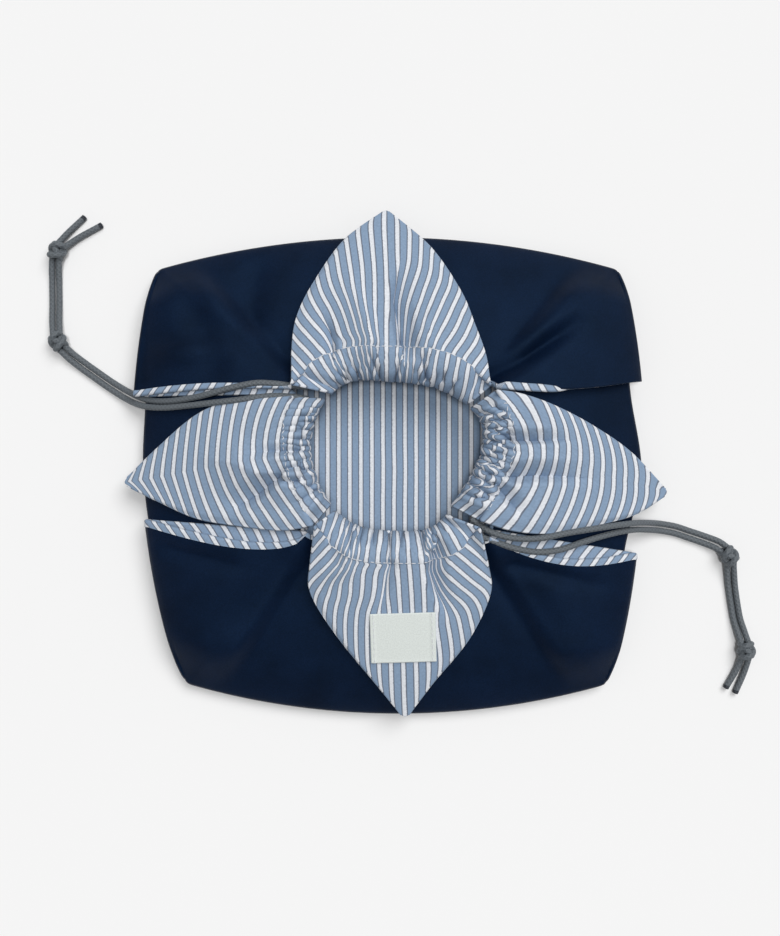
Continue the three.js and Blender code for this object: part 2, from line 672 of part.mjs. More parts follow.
addPiece('outer_cloth', bodyWall(GAP / 2, CLOTH), 'navy');
addPiece('lining', bodyWall(-GAP / 2, -CLOTH), 'lining');
for (const petal of PETALS) {
  addPiece(`petal_${petal.name}`, sheetSolid(petalRows(petal), PETAL_CLOTH), 'lining');
}
addPiece('label', labelSolid(), 'label');
for (const [name, route] of Object.entries(STRANDS)) {
  addPiece(name, strandSolid(route, CORD_RADIUS), 'cord');
}
for (const knot of KNOTS) {
  addPiece(knot.name, knotSolid(knot), 'cord');
}

export default pouch;
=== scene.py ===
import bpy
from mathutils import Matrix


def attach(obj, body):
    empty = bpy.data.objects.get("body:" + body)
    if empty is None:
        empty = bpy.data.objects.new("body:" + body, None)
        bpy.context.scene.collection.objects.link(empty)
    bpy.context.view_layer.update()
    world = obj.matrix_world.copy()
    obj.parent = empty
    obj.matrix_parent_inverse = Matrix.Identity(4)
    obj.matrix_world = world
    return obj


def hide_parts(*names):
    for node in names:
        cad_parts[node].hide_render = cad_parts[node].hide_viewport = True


bl_info = {
    "name": "Bojagi Pouch",
    "version": (1, 0, 0),
    "blender": (4, 5, 0),
    "location": "View3D > Sidebar > Pouch",
    "description": "A lined cloth pouch with turned-out petals, gathered casings and knotted drawcords",
    "category": "Add Mesh",
}

import math

import bpy
import numpy as np
from bpy.props import FloatProperty, FloatVectorProperty, IntProperty, PointerProperty
from mathutils import Vector
from mathutils.bvhtree import BVHTree

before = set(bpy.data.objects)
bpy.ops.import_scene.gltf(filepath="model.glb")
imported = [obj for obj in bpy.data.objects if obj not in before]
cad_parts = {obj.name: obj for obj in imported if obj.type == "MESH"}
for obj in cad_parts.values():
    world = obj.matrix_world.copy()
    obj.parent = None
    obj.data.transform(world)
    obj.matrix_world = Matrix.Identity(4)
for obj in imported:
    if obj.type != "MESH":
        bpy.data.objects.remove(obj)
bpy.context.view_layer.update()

# Everything is in metres, +Z up, on a surface at Z = 0, with +Y towards the north petal.

# Cloth and body
CLOTH = 0.001
GAP = 0.0003
SEAT = GAP / 2 + CLOTH
RIM_HEIGHT = 0.024
EDGE_HEIGHT = 0.0058
FLOOR_INSET = 0.0046
LAYER_RISE = 0.0032
EAR_STACKED = 0.3
EAR_TUCK = (0.0, 0.05)
CORNER_SPREAD = 0.06
LIFT_WIDTH = 0.010
OUTLINE_SHARPNESS = 220
MOUTH_X, MOUTH_Y = 0.0005, 0.0035
MOUTH_HALF_WIDTH, MOUTH_HALF_DEPTH = 0.041, 0.037
MOUTH_POWER = 2.5
RIM_SETBACK = 0.0034
BOTTOM_MIDDLE = (0.0, -0.004)
DOME_POWERS = (1.7, 0.8)
SHEET_INSIDE = 0.09
OVER_SIDES = ("north", "south")

# Petals
PETAL_CLOTH = 0.0016
PETAL_LIFT = 0.0031
LEAF_RISE = 0.0075
PETAL_DROP = 0.013
DROP_POWER = 1.8
STRIPE_REPEAT = 0.0055
PETAL_COLUMNS = 241
CASING_ROWS = 34
LEAF_ROWS = 84
PETAL_UP = (CASING_ROWS + 20, PETAL_COLUMNS // 2)

# name, ear it starts at, ear it ends at, bulge of its outline, going round counterclockwise
SIDES = (
    ("north", "ne", "nw", 0.0158),
    ("west", "nw", "sw", 0.0140),
    ("south", "sw", "se", 0.0144),
    ("east", "se", "ne", 0.0147),
)

# corner: on the outline; tip: outer end of the slit; over, under: where the two lips of the
# slit start beside the casing; open: how far the upper lip draws back; skew: where it is widest;
# inset: how far the side sheet's edge stands back beside the ear
EARS = {
    "nw": {
        "corner": (-0.117, 0.095), "tip": (-0.1262, 0.0342),
        "over": (-0.0512, 0.0362), "under": (-0.0512, 0.0336),
        "open": 0.0016, "skew": 1, "inset": 0.0022,
    },
    "ne": {
        "corner": (0.1088, 0.095), "tip": (0.118, 0.04),
        "over": (0.0485, 0.0365), "under": (0.051, 0.0355),
        "open": -0.0027, "skew": 1, "inset": 0.0050,
    },
    "sw": {
        "corner": (-0.1030, -0.1080), "tip": (-0.1208, -0.0290),
        "over": (-0.043, -0.034), "under": (-0.0445, -0.0333),
        "open": 0.0064, "skew": 0.64, "inset": 0.0010,
    },
    "se": {
        "corner": (0.1028, -0.1086), "tip": (0.1155, -0.045),
        "over": (0.0452, -0.036), "under": (0.0453, -0.0324),
        "open": 0.0062, "skew": 1.0, "inset": 0.0066,
    },
}

# Where the lining's turned edge shows: ear, its middle and spread along the ear, its width
TURNED_EDGES = {
    "nw": (0.6, 0.7, 0.0018),
    "ne": (0.17, 0.25, 0.0028),
    "sw": (0.5, 0.9, 0.0024),
    "se": (0.5, 0.9, 0.0021),
}
TURNED_LEAST = 0.0005
TURNED_ROWS = 5
# Where the lining's edge goes back under the sheet: ear, from and to how far out
TUCKED = {"ne": (0.40, 0.52)}

# Mesh rows and columns of the body
WALL_ROWS = 56
WALL_SPACING = 1.3
EDGE_ROWS = 10
BOTTOM_ROWS = 8
WIDE_STEPS = 90
NARROW_STEPS = 60
EAR_STEPS = 26
FOLD_STEPS = 8
TURN_STEPS = 8

# How drawn-up casings fold, where the stripes run along the petal and where they run across it:
# where the folds fade past the lip and the share then kept, squeeze at the lip, extra depth at the
# lip, crumple, and how squarely the casing's line bends
FOLDING = {
    "along": {
        "kept": (0.12, 0.62, 0.12), "squeeze": 0.16, "pinch": 0.0024, "crumple": 0.0006, "bend": 3.4,
    },
    "across": {
        "kept": (0.4, 1.0, 0.6), "squeeze": 0.34, "pinch": 0.0030, "crumple": 0.0060, "bend": 2,
    },
}
FOLDED_PART = (0.95, 0.65)
INSIDE_RISE = (-0.003, 0.002)
CRUMPLE_FOLDS = 3
CRUMPLE_PITCH = (0.007, 0.011)
CRUMPLE_MEAN = 0.64
ZIGZAG = 0.0034
WAVER = 0.0060
SLANT_SETTLED = 0.35
CASING_END = 0.5
CASING_FAN = 0.86
LEAF_GATHER = 0.0007
# Weights of the cloth that flat parts, run-on gathers and creases take up
FLAT_CLOTH = 0.09
RUN_ON_CLOTH = 0.3
CREASE_CLOTH = 0.0024
EDGE_CURL = 0.0010
PIT = 0.25

# Cords and knots
CORD_RADIUS = 0.0015
CORD_STEP = 0.0004
CORD_SIDES = 24
CORD_SINGED = 0.0016
CORD_TIP = 0.25
SPLINE_SAMPLES = 40
KNOT_STEPS = 150
BRAID_PITCH = 0.0022
BRAID_PLAITS = 4
BRAID_RELIEF = 0.02

# Label on the south petal
LABEL_MIDDLE = (0.0033, -0.0834)
LABEL_TURN = math.radians(1.7)
LABEL_HEM = 0.0026
LABEL_HEM_EDGE = 0.0006
LABEL_HEM_RISE = 0.0003
LABEL_GAP = 0.0001
LABEL_COLUMNS, LABEL_ROWS = 62, 48
LABEL_CLOTH = 0.0008
LABEL_PASSES = 30
RAY_HEIGHT = 0.2

# Share of a sheet's thickness by which its edge is rounded out, and mesh steps free of stitches at
# the ends of a row
PETAL_ROLL, LABEL_ROLL = 0.4, 0.3
PETAL_MARGIN, LABEL_MARGIN = 4, 2

# Camera: straight above, its long side along Y
CAMERA_PLACE = (-0.003, -0.00225, 0.6)
FRAME_LENGTH = 0.468
SENSOR = 36.0

# Floor and light
FLOOR_HALF = 3.0
KEY_HEADING = (-0.44, -0.56, -1.0)
TOP_HEADING = (0, 0, -1)

# Where a white stripe of the lining lies along X
LINING_WHITE = -0.001

# Long soft folds in the walls: from, to, width, depth
WALL_FOLDS = (
    ((0.045, 0.0395), (0.0868, 0.0675), 0.0045, 0.0064),
    ((-0.056, 0.047), (-0.092, 0.07), 0.008, 0.0026),
    ((-0.122, 0.053), (-0.078, 0.054), 0.006, -0.0020),
    ((-0.052, -0.05), (-0.084, -0.084), 0.009, 0.0034),
    ((0.054, -0.052), (0.082, -0.092), 0.009, 0.0034),
    ((-0.112, -0.0415), (-0.072, -0.0500), 0.004, 0.0020),
    ((0.056, -0.0480), (0.100, -0.0600), 0.004, 0.0020),
    ((-0.072, 0.070), (-0.066, 0.108), 0.008, 0.0026),
    ((-0.088, 0.050), (-0.104, 0.088), 0.008, 0.0024),
)

# Section of the gathered casing: share of the way from lip to stitch line, rise
CASING = (
    (0, -0.003),
    (0, 0.0034),
    (0.18, 0.0080),
    (0.5, 0.0104),
    (0.82, 0.0111),
    (1, 0.0106),
)

# gathers, seed: how many folds draw the casing up and the seed of their unevenness. rough: how far
# across the casing it is crumpled. period: the stripes' repeat as they lie. first_white: where a white
# stripe lies. flat, area: the cut cloth. slant: where stripes run across, how far they shift at the
# left edge by the casing and on the leaf, then at the right edge.
# rows: from the mouth's lip out to the tip, along and across the petal at its middle, at its left
# edge and at its right edge, seen looking outwards. creases: depth, or height of a ridge where it is
# negative, width on its left, width on its right and a line in plan from the casing outwards; the
# short narrow ones are pleats at the lip.
PETALS = {
    "north": {
        "axis": 90, "over": ("nw", "ne"), "gathers": 16, "seed": 11, "rough": 0.85,
        "stripes": "along", "period": 0.00585, "first_white": -0.0007,
        "flat": (0.113, 0.105), "area": 0.0092,
        "rows": (
            (0.0366, -0.0045, 0.0300, -0.0320, 0.0250, 0.0340),
            (0.0510, -0.0045, 0.0337, -0.0495, 0.0333, 0.0436),
            (0.0670, -0.0045, 0.0500, -0.0500, 0.0473, 0.0420),
            (0.0832, -0.0045, 0.0664, -0.0480, 0.0625, 0.0370),
            (0.0988, -0.0050, 0.0830, -0.0405, 0.0790, 0.0306),
            (0.1110, -0.0055, 0.1045, -0.0263, 0.1010, 0.0166),
            (0.1206, -0.0055, 0.1192, -0.0075, 0.1192, -0.0035),
        ),
        "creases": (
            (0.0080, 0.0032, 0.0100, (
                (0.0018, 0.0566), (0.0002, 0.0665), (-0.0017, 0.0771), (-0.0001, 0.0877),
                (0.0018, 0.0969), (0.0029, 0.1044))),
            (-0.0052, 0.0140, 0.0056, (
                (-0.0115, 0.0574), (-0.0146, 0.068), (-0.0188, 0.0786), (-0.0222, 0.0877),
                (-0.0275, 0.0953))),
            (-0.0030, 0.0080, 0.0056, (
                (0.0158, 0.0559), (0.0147, 0.0665), (0.0158, 0.0726), (0.0196, 0.0825),
                (0.0226, 0.0923))),
            (0.0042, 0.0060, 0.0034, ((-0.0297, 0.0529), (-0.0309, 0.0619), (-0.0374, 0.0741))),
            (0.0048, 0.0015, 0.0015, ((-0.0277, 0.0363), (-0.0296, 0.0410))),
            (0.0054, 0.0014, 0.0016, ((-0.0236, 0.0400), (-0.0245, 0.0460))),
            (0.0054, 0.0015, 0.0014, ((-0.0184, 0.0400), (-0.0175, 0.0465))),
            (0.0058, 0.0014, 0.0018, ((-0.0077, 0.0400), (-0.0105, 0.0465), (-0.0133, 0.0530))),
            (0.0068, 0.0018, 0.0018, ((-0.0008, 0.0400), (0.0016, 0.0470), (0.0028, 0.0520))),
            (0.0054, 0.0014, 0.0014, ((0.0104, 0.0400), (0.0098, 0.0460))),
            (0.0068, 0.0018, 0.0016, ((0.0147, 0.0400), (0.0123, 0.0487), (0.0149, 0.0540))),
            (0.0048, 0.0014, 0.0015, ((0.0220, 0.0395), (0.0236, 0.0450))),
            (0.0048, 0.0015, 0.0015, ((0.0262, 0.0355), (0.0303, 0.0410))),
        ),
    },
    "east": {
        "axis": 0, "over": (), "gathers": 15, "seed": 23, "rough": 0.85,
        "stripes": "across", "period": 0.0063, "first_white": -0.0007,
        "slant": (-0.0085, 0.0045, -0.006, 0),
        "flat": (0.085, 0.105), "area": 0.0070,
        "rows": (
            (0.0412, -0.0047, 0.0358, -0.0230, 0.0266, 0.0240),
            (0.0547, -0.0019, 0.0470, -0.0308, 0.0392, 0.0303),
            (0.0689, 0.0010, 0.0593, -0.0292, 0.0545, 0.0352),
            (0.0848, 0.0048, 0.0751, -0.0240, 0.0737, 0.0368),
            (0.1021, 0.0096, 0.0938, -0.0148, 0.0958, 0.0332),
            (0.1190, 0.0141, 0.1131, -0.0022, 0.1156, 0.0284),
            (0.1322, 0.0175, 0.1305, 0.0155, 0.1307, 0.0195),
        ),
        "creases": (
            (0.0084, 0.0066, 0.0022, (
                (0.0545, 0.0104), (0.066, 0.0104), (0.0761, 0.0108), (0.0884, 0.0113))),
            (0.0086, 0.0086, 0.0040, (
                (0.0550, -0.0068), (0.066, -0.0060), (0.0761, -0.0062), (0.0864, -0.0068),
                (0.0993, -0.0080))),
            (0.0074, 0.0070, 0.0034, ((0.0490, -0.0125), (0.0555, -0.0205), (0.0616, -0.0265))),
        ),
    },
    "south": {
        "axis": 270, "over": ("sw", "se"), "gathers": 16, "seed": 35, "rough": 0.85,
        "stripes": "along", "period": 0.0065, "first_white": 0.0,
        "flat": (0.110, 0.108), "area": 0.0088,
        "rows": (
            (0.0367, 0.0002, 0.0285, -0.0238, 0.0267, 0.0300),
            (0.0501, 0.0002, 0.0340, -0.0385, 0.0328, 0.0385),
            (0.0651, -0.0008, 0.0526, -0.0430, 0.0512, 0.0412),
            (0.0814, -0.0018, 0.0664, -0.0440, 0.0655, 0.0412),
            (0.0989, -0.0028, 0.0877, -0.0345, 0.0858, 0.0293),
            (0.1156, -0.0033, 0.1088, -0.0178, 0.1083, 0.0115),
            (0.1268, -0.0038, 0.1256, -0.0056, 0.1256, -0.0020),
        ),
        "creases": (
            (0.0030, 0.0040, 0.0050, (
                (-0.0027, -0.0478), (-0.0042, -0.0530), (-0.0060, -0.0620), (-0.0085, -0.0730))),
            (0.0064, 0.0016, 0.0019, ((-0.0211, -0.0280), (-0.0222, -0.0445))),
            (0.0058, 0.0015, 0.0016, ((-0.0158, -0.0308), (-0.0186, -0.0415))),
            (0.0051, 0.0014, 0.0015, ((-0.0112, -0.0335), (-0.0130, -0.0415))),
            (0.0068, 0.0016, 0.0018, ((-0.0038, -0.0340), (-0.0027, -0.0490))),
            (0.0051, 0.0015, 0.0015, ((0.0026, -0.0340), (0.0016, -0.0415))),
            (0.0064, 0.0024, 0.0022, ((0.0115, -0.0335), (0.0147, -0.0490))),
            (0.0032, 0.0015, 0.0015, ((0.0168, -0.0345), (0.0176, -0.0440))),
            (0.0051, 0.0015, 0.0015, ((0.0193, -0.0345), (0.0205, -0.0415))),
            (0.0048, 0.0015, 0.0015, ((0.0246, -0.0266), (0.0296, -0.0320))),
            (0.0080, 0.0090, 0.0034, (
                (0.0173, -0.0425), (0.0155, -0.051), (0.0184, -0.0603), (0.0227, -0.0688),
                (0.0262, -0.0767))),
            (-0.0034, 0.0080, 0.0080, (
                (-0.0223, -0.0418), (-0.0244, -0.0488), (-0.0316, -0.0545), (-0.0373, -0.0603))),
        ),
    },
    "west": {
        "axis": 180, "over": (), "gathers": 15, "seed": 47, "rough": 0.45,
        "stripes": "across", "period": 0.0060, "first_white": 0.0024,
        "slant": (-0.006, -0.0052, -0.004, -0.0021),
        "flat": (0.085, 0.105), "area": 0.0070,
        "rows": (
            (0.0420, 0.0019, 0.0325, -0.0235, 0.0355, 0.0270),
            (0.0531, 0.0004, 0.0400, -0.0325, 0.0495, 0.0278),
            (0.0668, -0.0019, 0.0543, -0.0350, 0.0639, 0.0270),
            (0.0817, -0.0038, 0.0735, -0.0334, 0.0802, 0.0262),
            (0.0982, -0.0067, 0.0958, -0.0300, 0.0973, 0.0192),
            (0.1170, -0.0102, 0.1145, -0.0227, 0.1160, 0.0044),
            (0.1331, -0.0126, 0.1316, -0.0146, 0.1316, -0.0104),
        ),
        "creases": (
            (-0.0058, 0.0180, 0.0150, (
                (-0.0560, -0.0040), (-0.0663, -0.0041), (-0.072, -0.0020), (-0.077, 0.0002),
                (-0.0892, 0.0023), (-0.1013, 0.0030))),
            (0.0090, 0.0034, 0.0100, (
                (-0.0550, -0.0068), (-0.0600, -0.0104), (-0.0649, -0.0146), (-0.0712, -0.0184),
                (-0.0770, -0.0214), (-0.0835, -0.0255))),
            (0.0056, 0.0034, 0.0044, (
                (-0.0480, 0.0059), (-0.0560, 0.0056), (-0.0649, 0.0050), (-0.0740, 0.0040))),
            (0.0050, 0.0034, 0.0026, ((-0.0461, -0.0013), (-0.0553, -0.0027), (-0.0673, -0.0034))),
            (0.0050, 0.0024, 0.0036, ((-0.0468, -0.0087), (-0.0581, -0.0083))),
        ),
    },
}

# Each strand leaves a casing end, crosses the ear, drops to the surface and runs through two knots
STRANDS = {
    "cord_left_upper": (
        (-0.0415, 0.0362, 0.0282), (-0.0462, 0.0366, 0.0286), (-0.0515, 0.0372, 0.0292),
        (-0.0585, 0.0379, 0.0294), (-0.0663, 0.0382, 0.0292), (-0.0803, 0.0357, 0.0276),
        (-0.0882, 0.0336, 0.0256), (-0.0964, 0.0319, 0.0223), (-0.1099, 0.0303, 0.0168),
        (-0.1197, 0.0308, 0.0116), (-0.1262, 0.0325, 0.0086), (-0.1331, 0.0357, 0.004),
        (-0.1411, 0.0404, 0.0017), (-0.1486, 0.0456, 0.0017), (-0.1556, 0.0506, 0.0018),
        (-0.1618, 0.0556, 0.0032), (-0.166, 0.0608, 0.0049), (-0.1674, 0.0684, 0.0032),
        (-0.1678, 0.0805, 0.0017), (-0.1679, 0.0905, 0.0018), (-0.1676, 0.0984, 0.0034),
        (-0.1664, 0.1049, 0.0049), (-0.1602, 0.1108, 0.003), (-0.1466, 0.1189, 0.0017),
    ),
    "cord_left_lower": (
        (-0.0425, 0.0306, 0.0282), (-0.0466, 0.0314, 0.0289), (-0.0515, 0.0318, 0.0296),
        (-0.06, 0.0320, 0.0294), (-0.0735, 0.0304, 0.0286), (-0.0877, 0.0290, 0.0256),
        (-0.101, 0.0278, 0.0206), (-0.1121, 0.0271, 0.0164), (-0.1208, 0.0276, 0.0122),
        (-0.1274, 0.0291, 0.0084), (-0.1343, 0.0321, 0.0034), (-0.1431, 0.0375, 0.0017),
        (-0.1506, 0.0428, 0.0017), (-0.1576, 0.0478, 0.0018), (-0.1642, 0.0534, 0.0032),
        (-0.1692, 0.0596, 0.0049), (-0.1709, 0.0684, 0.0032), (-0.1713, 0.0805, 0.0017),
        (-0.1714, 0.0905, 0.0018), (-0.1711, 0.0984, 0.0034), (-0.1697, 0.1059, 0.0049),
        (-0.1649, 0.1129, 0.0032), (-0.1551, 0.1229, 0.0017),
    ),
    "cord_right_upper": (
        (0.0356, -0.0264, 0.0282), (0.0396, -0.0294, 0.0286), (0.0444, -0.0324, 0.0298),
        (0.0536, -0.0353, 0.0298), (0.0674, -0.0358, 0.029), (0.0815, -0.0333, 0.0276),
        (0.0966, -0.0311, 0.0244), (0.1087, -0.0297, 0.0196), (0.118, -0.0291, 0.0134),
        (0.1249, -0.0293, 0.008), (0.1312, -0.0299, 0.0034), (0.1396, -0.0314, 0.0017),
        (0.1466, -0.0337, 0.0017), (0.1546, -0.0364, 0.0019), (0.162, -0.0396, 0.0034),
        (0.1668, -0.045, 0.0049), (0.168, -0.0524, 0.0032), (0.1689, -0.0601, 0.0017),
        (0.1701, -0.0691, 0.0017), (0.1716, -0.0775, 0.0019), (0.1736, -0.0846, 0.0034),
        (0.1754, -0.0924, 0.0049), (0.1738, -0.102, 0.003), (0.169, -0.1144, 0.0017),
    ),
    "cord_right_lower": (
        (0.033, -0.0316, 0.0282), (0.0372, -0.0338, 0.0288), (0.0419, -0.0356, 0.0294),
        (0.0483, -0.0379, 0.0296), (0.057, -0.0406, 0.029), (0.0676, -0.0423, 0.0282),
        (0.0784, -0.0413, 0.0264), (0.0895, -0.0379, 0.0234), (0.1007, -0.035, 0.019),
        (0.1102, -0.0332, 0.0146), (0.1183, -0.0325, 0.0106), (0.1245, -0.0328, 0.007),
        (0.1308, -0.0334, 0.0032), (0.1386, -0.0348, 0.0017), (0.1456, -0.0371, 0.0017),
        (0.1534, -0.0398, 0.0019), (0.1598, -0.0426, 0.0034), (0.1635, -0.0466, 0.0049),
        (0.1646, -0.053, 0.0032), (0.1655, -0.0606, 0.0017), (0.1668, -0.0696, 0.0017),
        (0.1683, -0.0782, 0.0019), (0.1703, -0.0854, 0.0034), (0.1719, -0.0928, 0.0049),
        (0.1698, -0.1014, 0.003), (0.1643, -0.1119, 0.0017),
    ),
}

# name, middle, plan direction of the strands through it in degrees
KNOTS = (
    ("knot_left_inner", (-0.1677, 0.0606, 0.0049), 118),
    ("knot_left_outer", (-0.168, 0.1054, 0.0049), 68),
    ("knot_right_inner", (0.1652, -0.0458, 0.0049), -58),
    ("knot_right_outer", (0.1736, -0.0926, 0.0049), -86),
)


def ease(start, end, x):
    t = np.clip((x - start) / (end - start), 0, 1)
    return t * t * (3 - 2 * t)


def mix(a, b, t):
    return a + (b - a) * t


def angle_of(x, y):
    return np.arctan2(y - MOUTH_Y, x - MOUTH_X)


def distance_of(x, y):
    return np.hypot(x - MOUTH_X, y - MOUTH_Y)


def polar(angle, radius):
    return MOUTH_X + radius * np.cos(angle), MOUTH_Y + radius * np.sin(angle)


def side_circle(start, end, bulge):
    (ax, ay), (bx, by) = EARS[start]["corner"], EARS[end]["corner"]
    chord = math.hypot(bx - ax, by - ay)
    radius = (chord * chord / 4 + bulge * bulge) / (2 * bulge)
    normal_x, normal_y = (by - ay) / chord, -(bx - ax) / chord
    return (
        (ax + bx) / 2 + normal_x * (bulge - radius),
        (ay + by) / 2 + normal_y * (bulge - radius),
        radius,
    )


SIDE_CIRCLES = [side_circle(start, end, bulge) for _, start, end, bulge in SIDES]


def outline_radius(angle):
    """Distance from the mouth's middle to the outline: four shallow arcs with rounded corners."""
    total = 0.0
    for centre_x, centre_y, radius in SIDE_CIRCLES:
        dx, dy = MOUTH_X - centre_x, MOUTH_Y - centre_y
        b = np.cos(angle) * dx + np.sin(angle) * dy
        c = dx * dx + dy * dy - radius * radius
        total = total + (-b + np.sqrt(b * b - c)) ** -OUTLINE_SHARPNESS
    return total ** (-1 / OUTLINE_SHARPNESS)


def rim_radius(angle):
    x = np.abs(np.cos(angle) / MOUTH_HALF_WIDTH) ** MOUTH_POWER
    y = np.abs(np.sin(angle) / MOUTH_HALF_DEPTH) ** MOUTH_POWER
    return (x + y) ** (-1 / MOUTH_POWER) + RIM_SETBACK


def outwards(x, y):
    """0 at the wall's rim, 1 at the outline."""
    angle = angle_of(x, y)
    rim = rim_radius(angle)
    return (distance_of(x, y) - rim) / (outline_radius(angle) - rim)


def fold_depth(x, y, folds):
    depth = 0.0
    for (from_x, from_y), (to_x, to_y), width, deep in folds:
        dx, dy = to_x - from_x, to_y - from_y
        along = np.clip(((x - from_x) * dx + (y - from_y) * dy) / (dx * dx + dy * dy), 0, 1)
        off = np.hypot(x - from_x - dx * along, y - from_y - dy * along)
        depth = depth + deep * ease(1.25, 0.5, along) * np.exp(-((off / width) ** 2))
    return depth


def wall_height(x, y):
    t = np.clip(outwards(x, y), 0, 1)
    dome = EDGE_HEIGHT + (RIM_HEIGHT - EDGE_HEIGHT) * (1 - t ** DOME_POWERS[0]) ** DOME_POWERS[1]
    return dome - fold_depth(x, y, WALL_FOLDS) * ease(1, 0.8, t)


def sheet_first(name):
    """True where the sheet over the ear comes before it, counterclockwise."""
    return name in ("nw", "se")


def ear_corner(name, towards_sheet):
    sign = -1 if towards_sheet == sheet_first(name) else 1
    angle = angle_of(*EARS[name]["corner"]) + sign * CORNER_SPREAD
    return polar(angle, outline_radius(angle))


def sheet_lift(name, x, y):
    """How far the north and south sheets are raised where they pass over an ear's lower layers."""
    over_x, over_y = EARS[name]["over"]
    start_x, start_y = ear_corner(name, True)
    length = math.hypot(over_x - start_x, over_y - start_y)
    normal_x, normal_y = -(over_y - start_y) / length, (over_x - start_x) / length
    inward = normal_x * (0 - start_x) + normal_y * (math.copysign(SHEET_INSIDE, over_y) - start_y)
    off = ((x - start_x) * normal_x + (y - start_y) * normal_y) * math.copysign(1, inward)
    return 2 * LAYER_RISE * ease(LIFT_WIDTH, 0, off)


def ear_edge(name, s):
    ear = EARS[name]
    angle = mix(angle_of(*ear["corner"]), angle_of(*ear["tip"]), s)
    reach = distance_of(*ear["tip"]) / outline_radius(angle_of(*ear["tip"]))
    return polar(angle, outline_radius(angle) * mix(1, reach, s))


def ear_points(name, layer, k, bulge, share, s):
    """Points of an ear at heights s of the wall. layer counts up from the wall, k runs out to the
    edge, share runs from the sheet over the ear to the wall under it."""
    ear = EARS[name]
    edge_x, edge_y = ear_edge(name, s)
    over_x, over_y = [mix(a, b, s) for a, b in zip(ear_corner(name, True), ear["over"])]
    under_x, under_y = [mix(a, b, s) for a, b in zip(ear_corner(name, False), ear["under"])]
    span = np.maximum(0.001, np.hypot(edge_x - under_x, edge_y - under_y))
    upper = layer > 1.5
    x = mix(np.where(upper, over_x, under_x), edge_x, k)
    y = mix(np.where(upper, over_y, under_y), edge_y, k)
    draw = ear["open"] * np.sin(np.pi * k ** ear["skew"]) * s ** 3
    y = y + np.where(upper, math.copysign(1, ear["over"][1]) * draw, 0)
    x = x + (edge_x - under_x) / span * bulge
    y = y + (edge_y - under_y) / span * bulge
    turn = 2 * share - 1 if sheet_first(name) else 1 - 2 * share
    spread = angle_of(*ear["corner"]) + turn * CORNER_SPREAD
    flat_x, flat_y = polar(spread, outline_radius(spread))
    flat_x = mix(flat_x, mix(ear["over"][0], ear["under"][0], share), s)
    flat_y = mix(flat_y, mix(ear["over"][1], ear["under"][1], share), s)
    tuck = ease(*EAR_TUCK, s)
    x, y = mix(flat_x, x, tuck), mix(flat_y, y, tuck)
    stacked = mix(2 - 2 * share, layer, tuck) * LAYER_RISE * ease(0, EAR_STACKED, s)
    return np.stack(np.broadcast_arrays(x, y, wall_height(x, y) + stacked), axis=-1)


def wall_points(side, q, s):
    name, start, end, _ = side
    over_sheet = name in OVER_SIDES
    root = "over" if over_sheet else "under"
    start_root, end_root = EARS[start][root], EARS[end][root]

    def turn(a, b):
        return a + (b - a) % (2 * math.pi) * q

    outer = turn(angle_of(*ear_corner(start, over_sheet)), angle_of(*ear_corner(end, over_sheet)))
    inner = turn(angle_of(*start_root), angle_of(*end_root))
    start_setback = distance_of(*start_root) - rim_radius(angle_of(*start_root))
    end_setback = distance_of(*end_root) - rim_radius(angle_of(*end_root))
    setback = start_setback * ease(0.2, 0, q) + end_setback * ease(0.8, 1, q)
    inset = 0
    if not over_sheet:
        inset = EARS[start]["inset"] * ease(0.02, 0.2, q) * ease(0.52, 0.25, q)
        inset = inset + EARS[end]["inset"] * ease(0.98, 0.8, q) * ease(0.48, 0.75, q)
    outer_x, outer_y = polar(outer, outline_radius(outer) - inset)
    inner_x, inner_y = polar(inner, rim_radius(inner) + setback)
    x, y = mix(outer_x, inner_x, s), mix(outer_y, inner_y, s)
    z = wall_height(x, y)
    if over_sheet:
        lift = np.maximum(sheet_lift(start, x, y), sheet_lift(end, x, y))
        z = z + lift * ease(0, EAR_STACKED, s)
    return np.stack(np.broadcast_arrays(x, y, z), axis=-1)


def ear_stations():
    """layer, k, bulge and share along a flat pleat, from the sheet over it to the wall under it."""
    out = np.linspace(0, 1, EAR_STEPS + 1)[1:]
    half_turn = np.linspace(0, np.pi, FOLD_STEPS + 1)[1:]
    upper = [2 + 0 * out, out, 0 * out, out / 3]
    fold = [1.5 + 0.5 * np.cos(half_turn), 1 + 0 * half_turn, np.sin(half_turn) * LAYER_RISE / 2]
    fold.append(1 / 3 + half_turn / np.pi * 2 / 9)
    lower = [1 + 0 * out, 1 - out, 0 * out, 5 / 9 + out * 2 / 9]
    root = [0.5 + 0.5 * np.cos(half_turn), 0 * half_turn, -np.sin(half_turn) * LAYER_RISE / 2]
    root.append(7 / 9 + half_turn / np.pi * 2 / 9)
    return [np.concatenate(parts)[:-1] for parts in zip(upper, fold, lower, root)]


def body_columns():
    """Once round the body: the wall's points, and which ear, layer and k each column has."""
    s = (np.linspace(0, 1, WALL_ROWS + 1) ** WALL_SPACING)[:, None]
    blocks, ears, layers, outs = [], [], [], []
    for side in SIDES:
        steps = WIDE_STEPS if side[0] in OVER_SIDES else NARROW_STEPS
        q = np.linspace(0, 1, steps)[None, :]
        blocks.append(wall_points(side, q, s))
        ears += [""] * steps
        layers.append(np.zeros(steps))
        outs.append(np.zeros(steps))
        ear = side[2]
        stations = ear_stations()
        if side[0] not in OVER_SIDES:
            stations = [values[::-1] for values in stations]
        layer, k, bulge, share = stations
        blocks.append(ear_points(ear, layer, k, bulge, share, s))
        ears += [ear] * len(layer)
        layers.append(layer)
        outs.append(k)
    return np.concatenate(blocks, axis=1), np.array(ears), np.concatenate(layers), np.concatenate(outs)


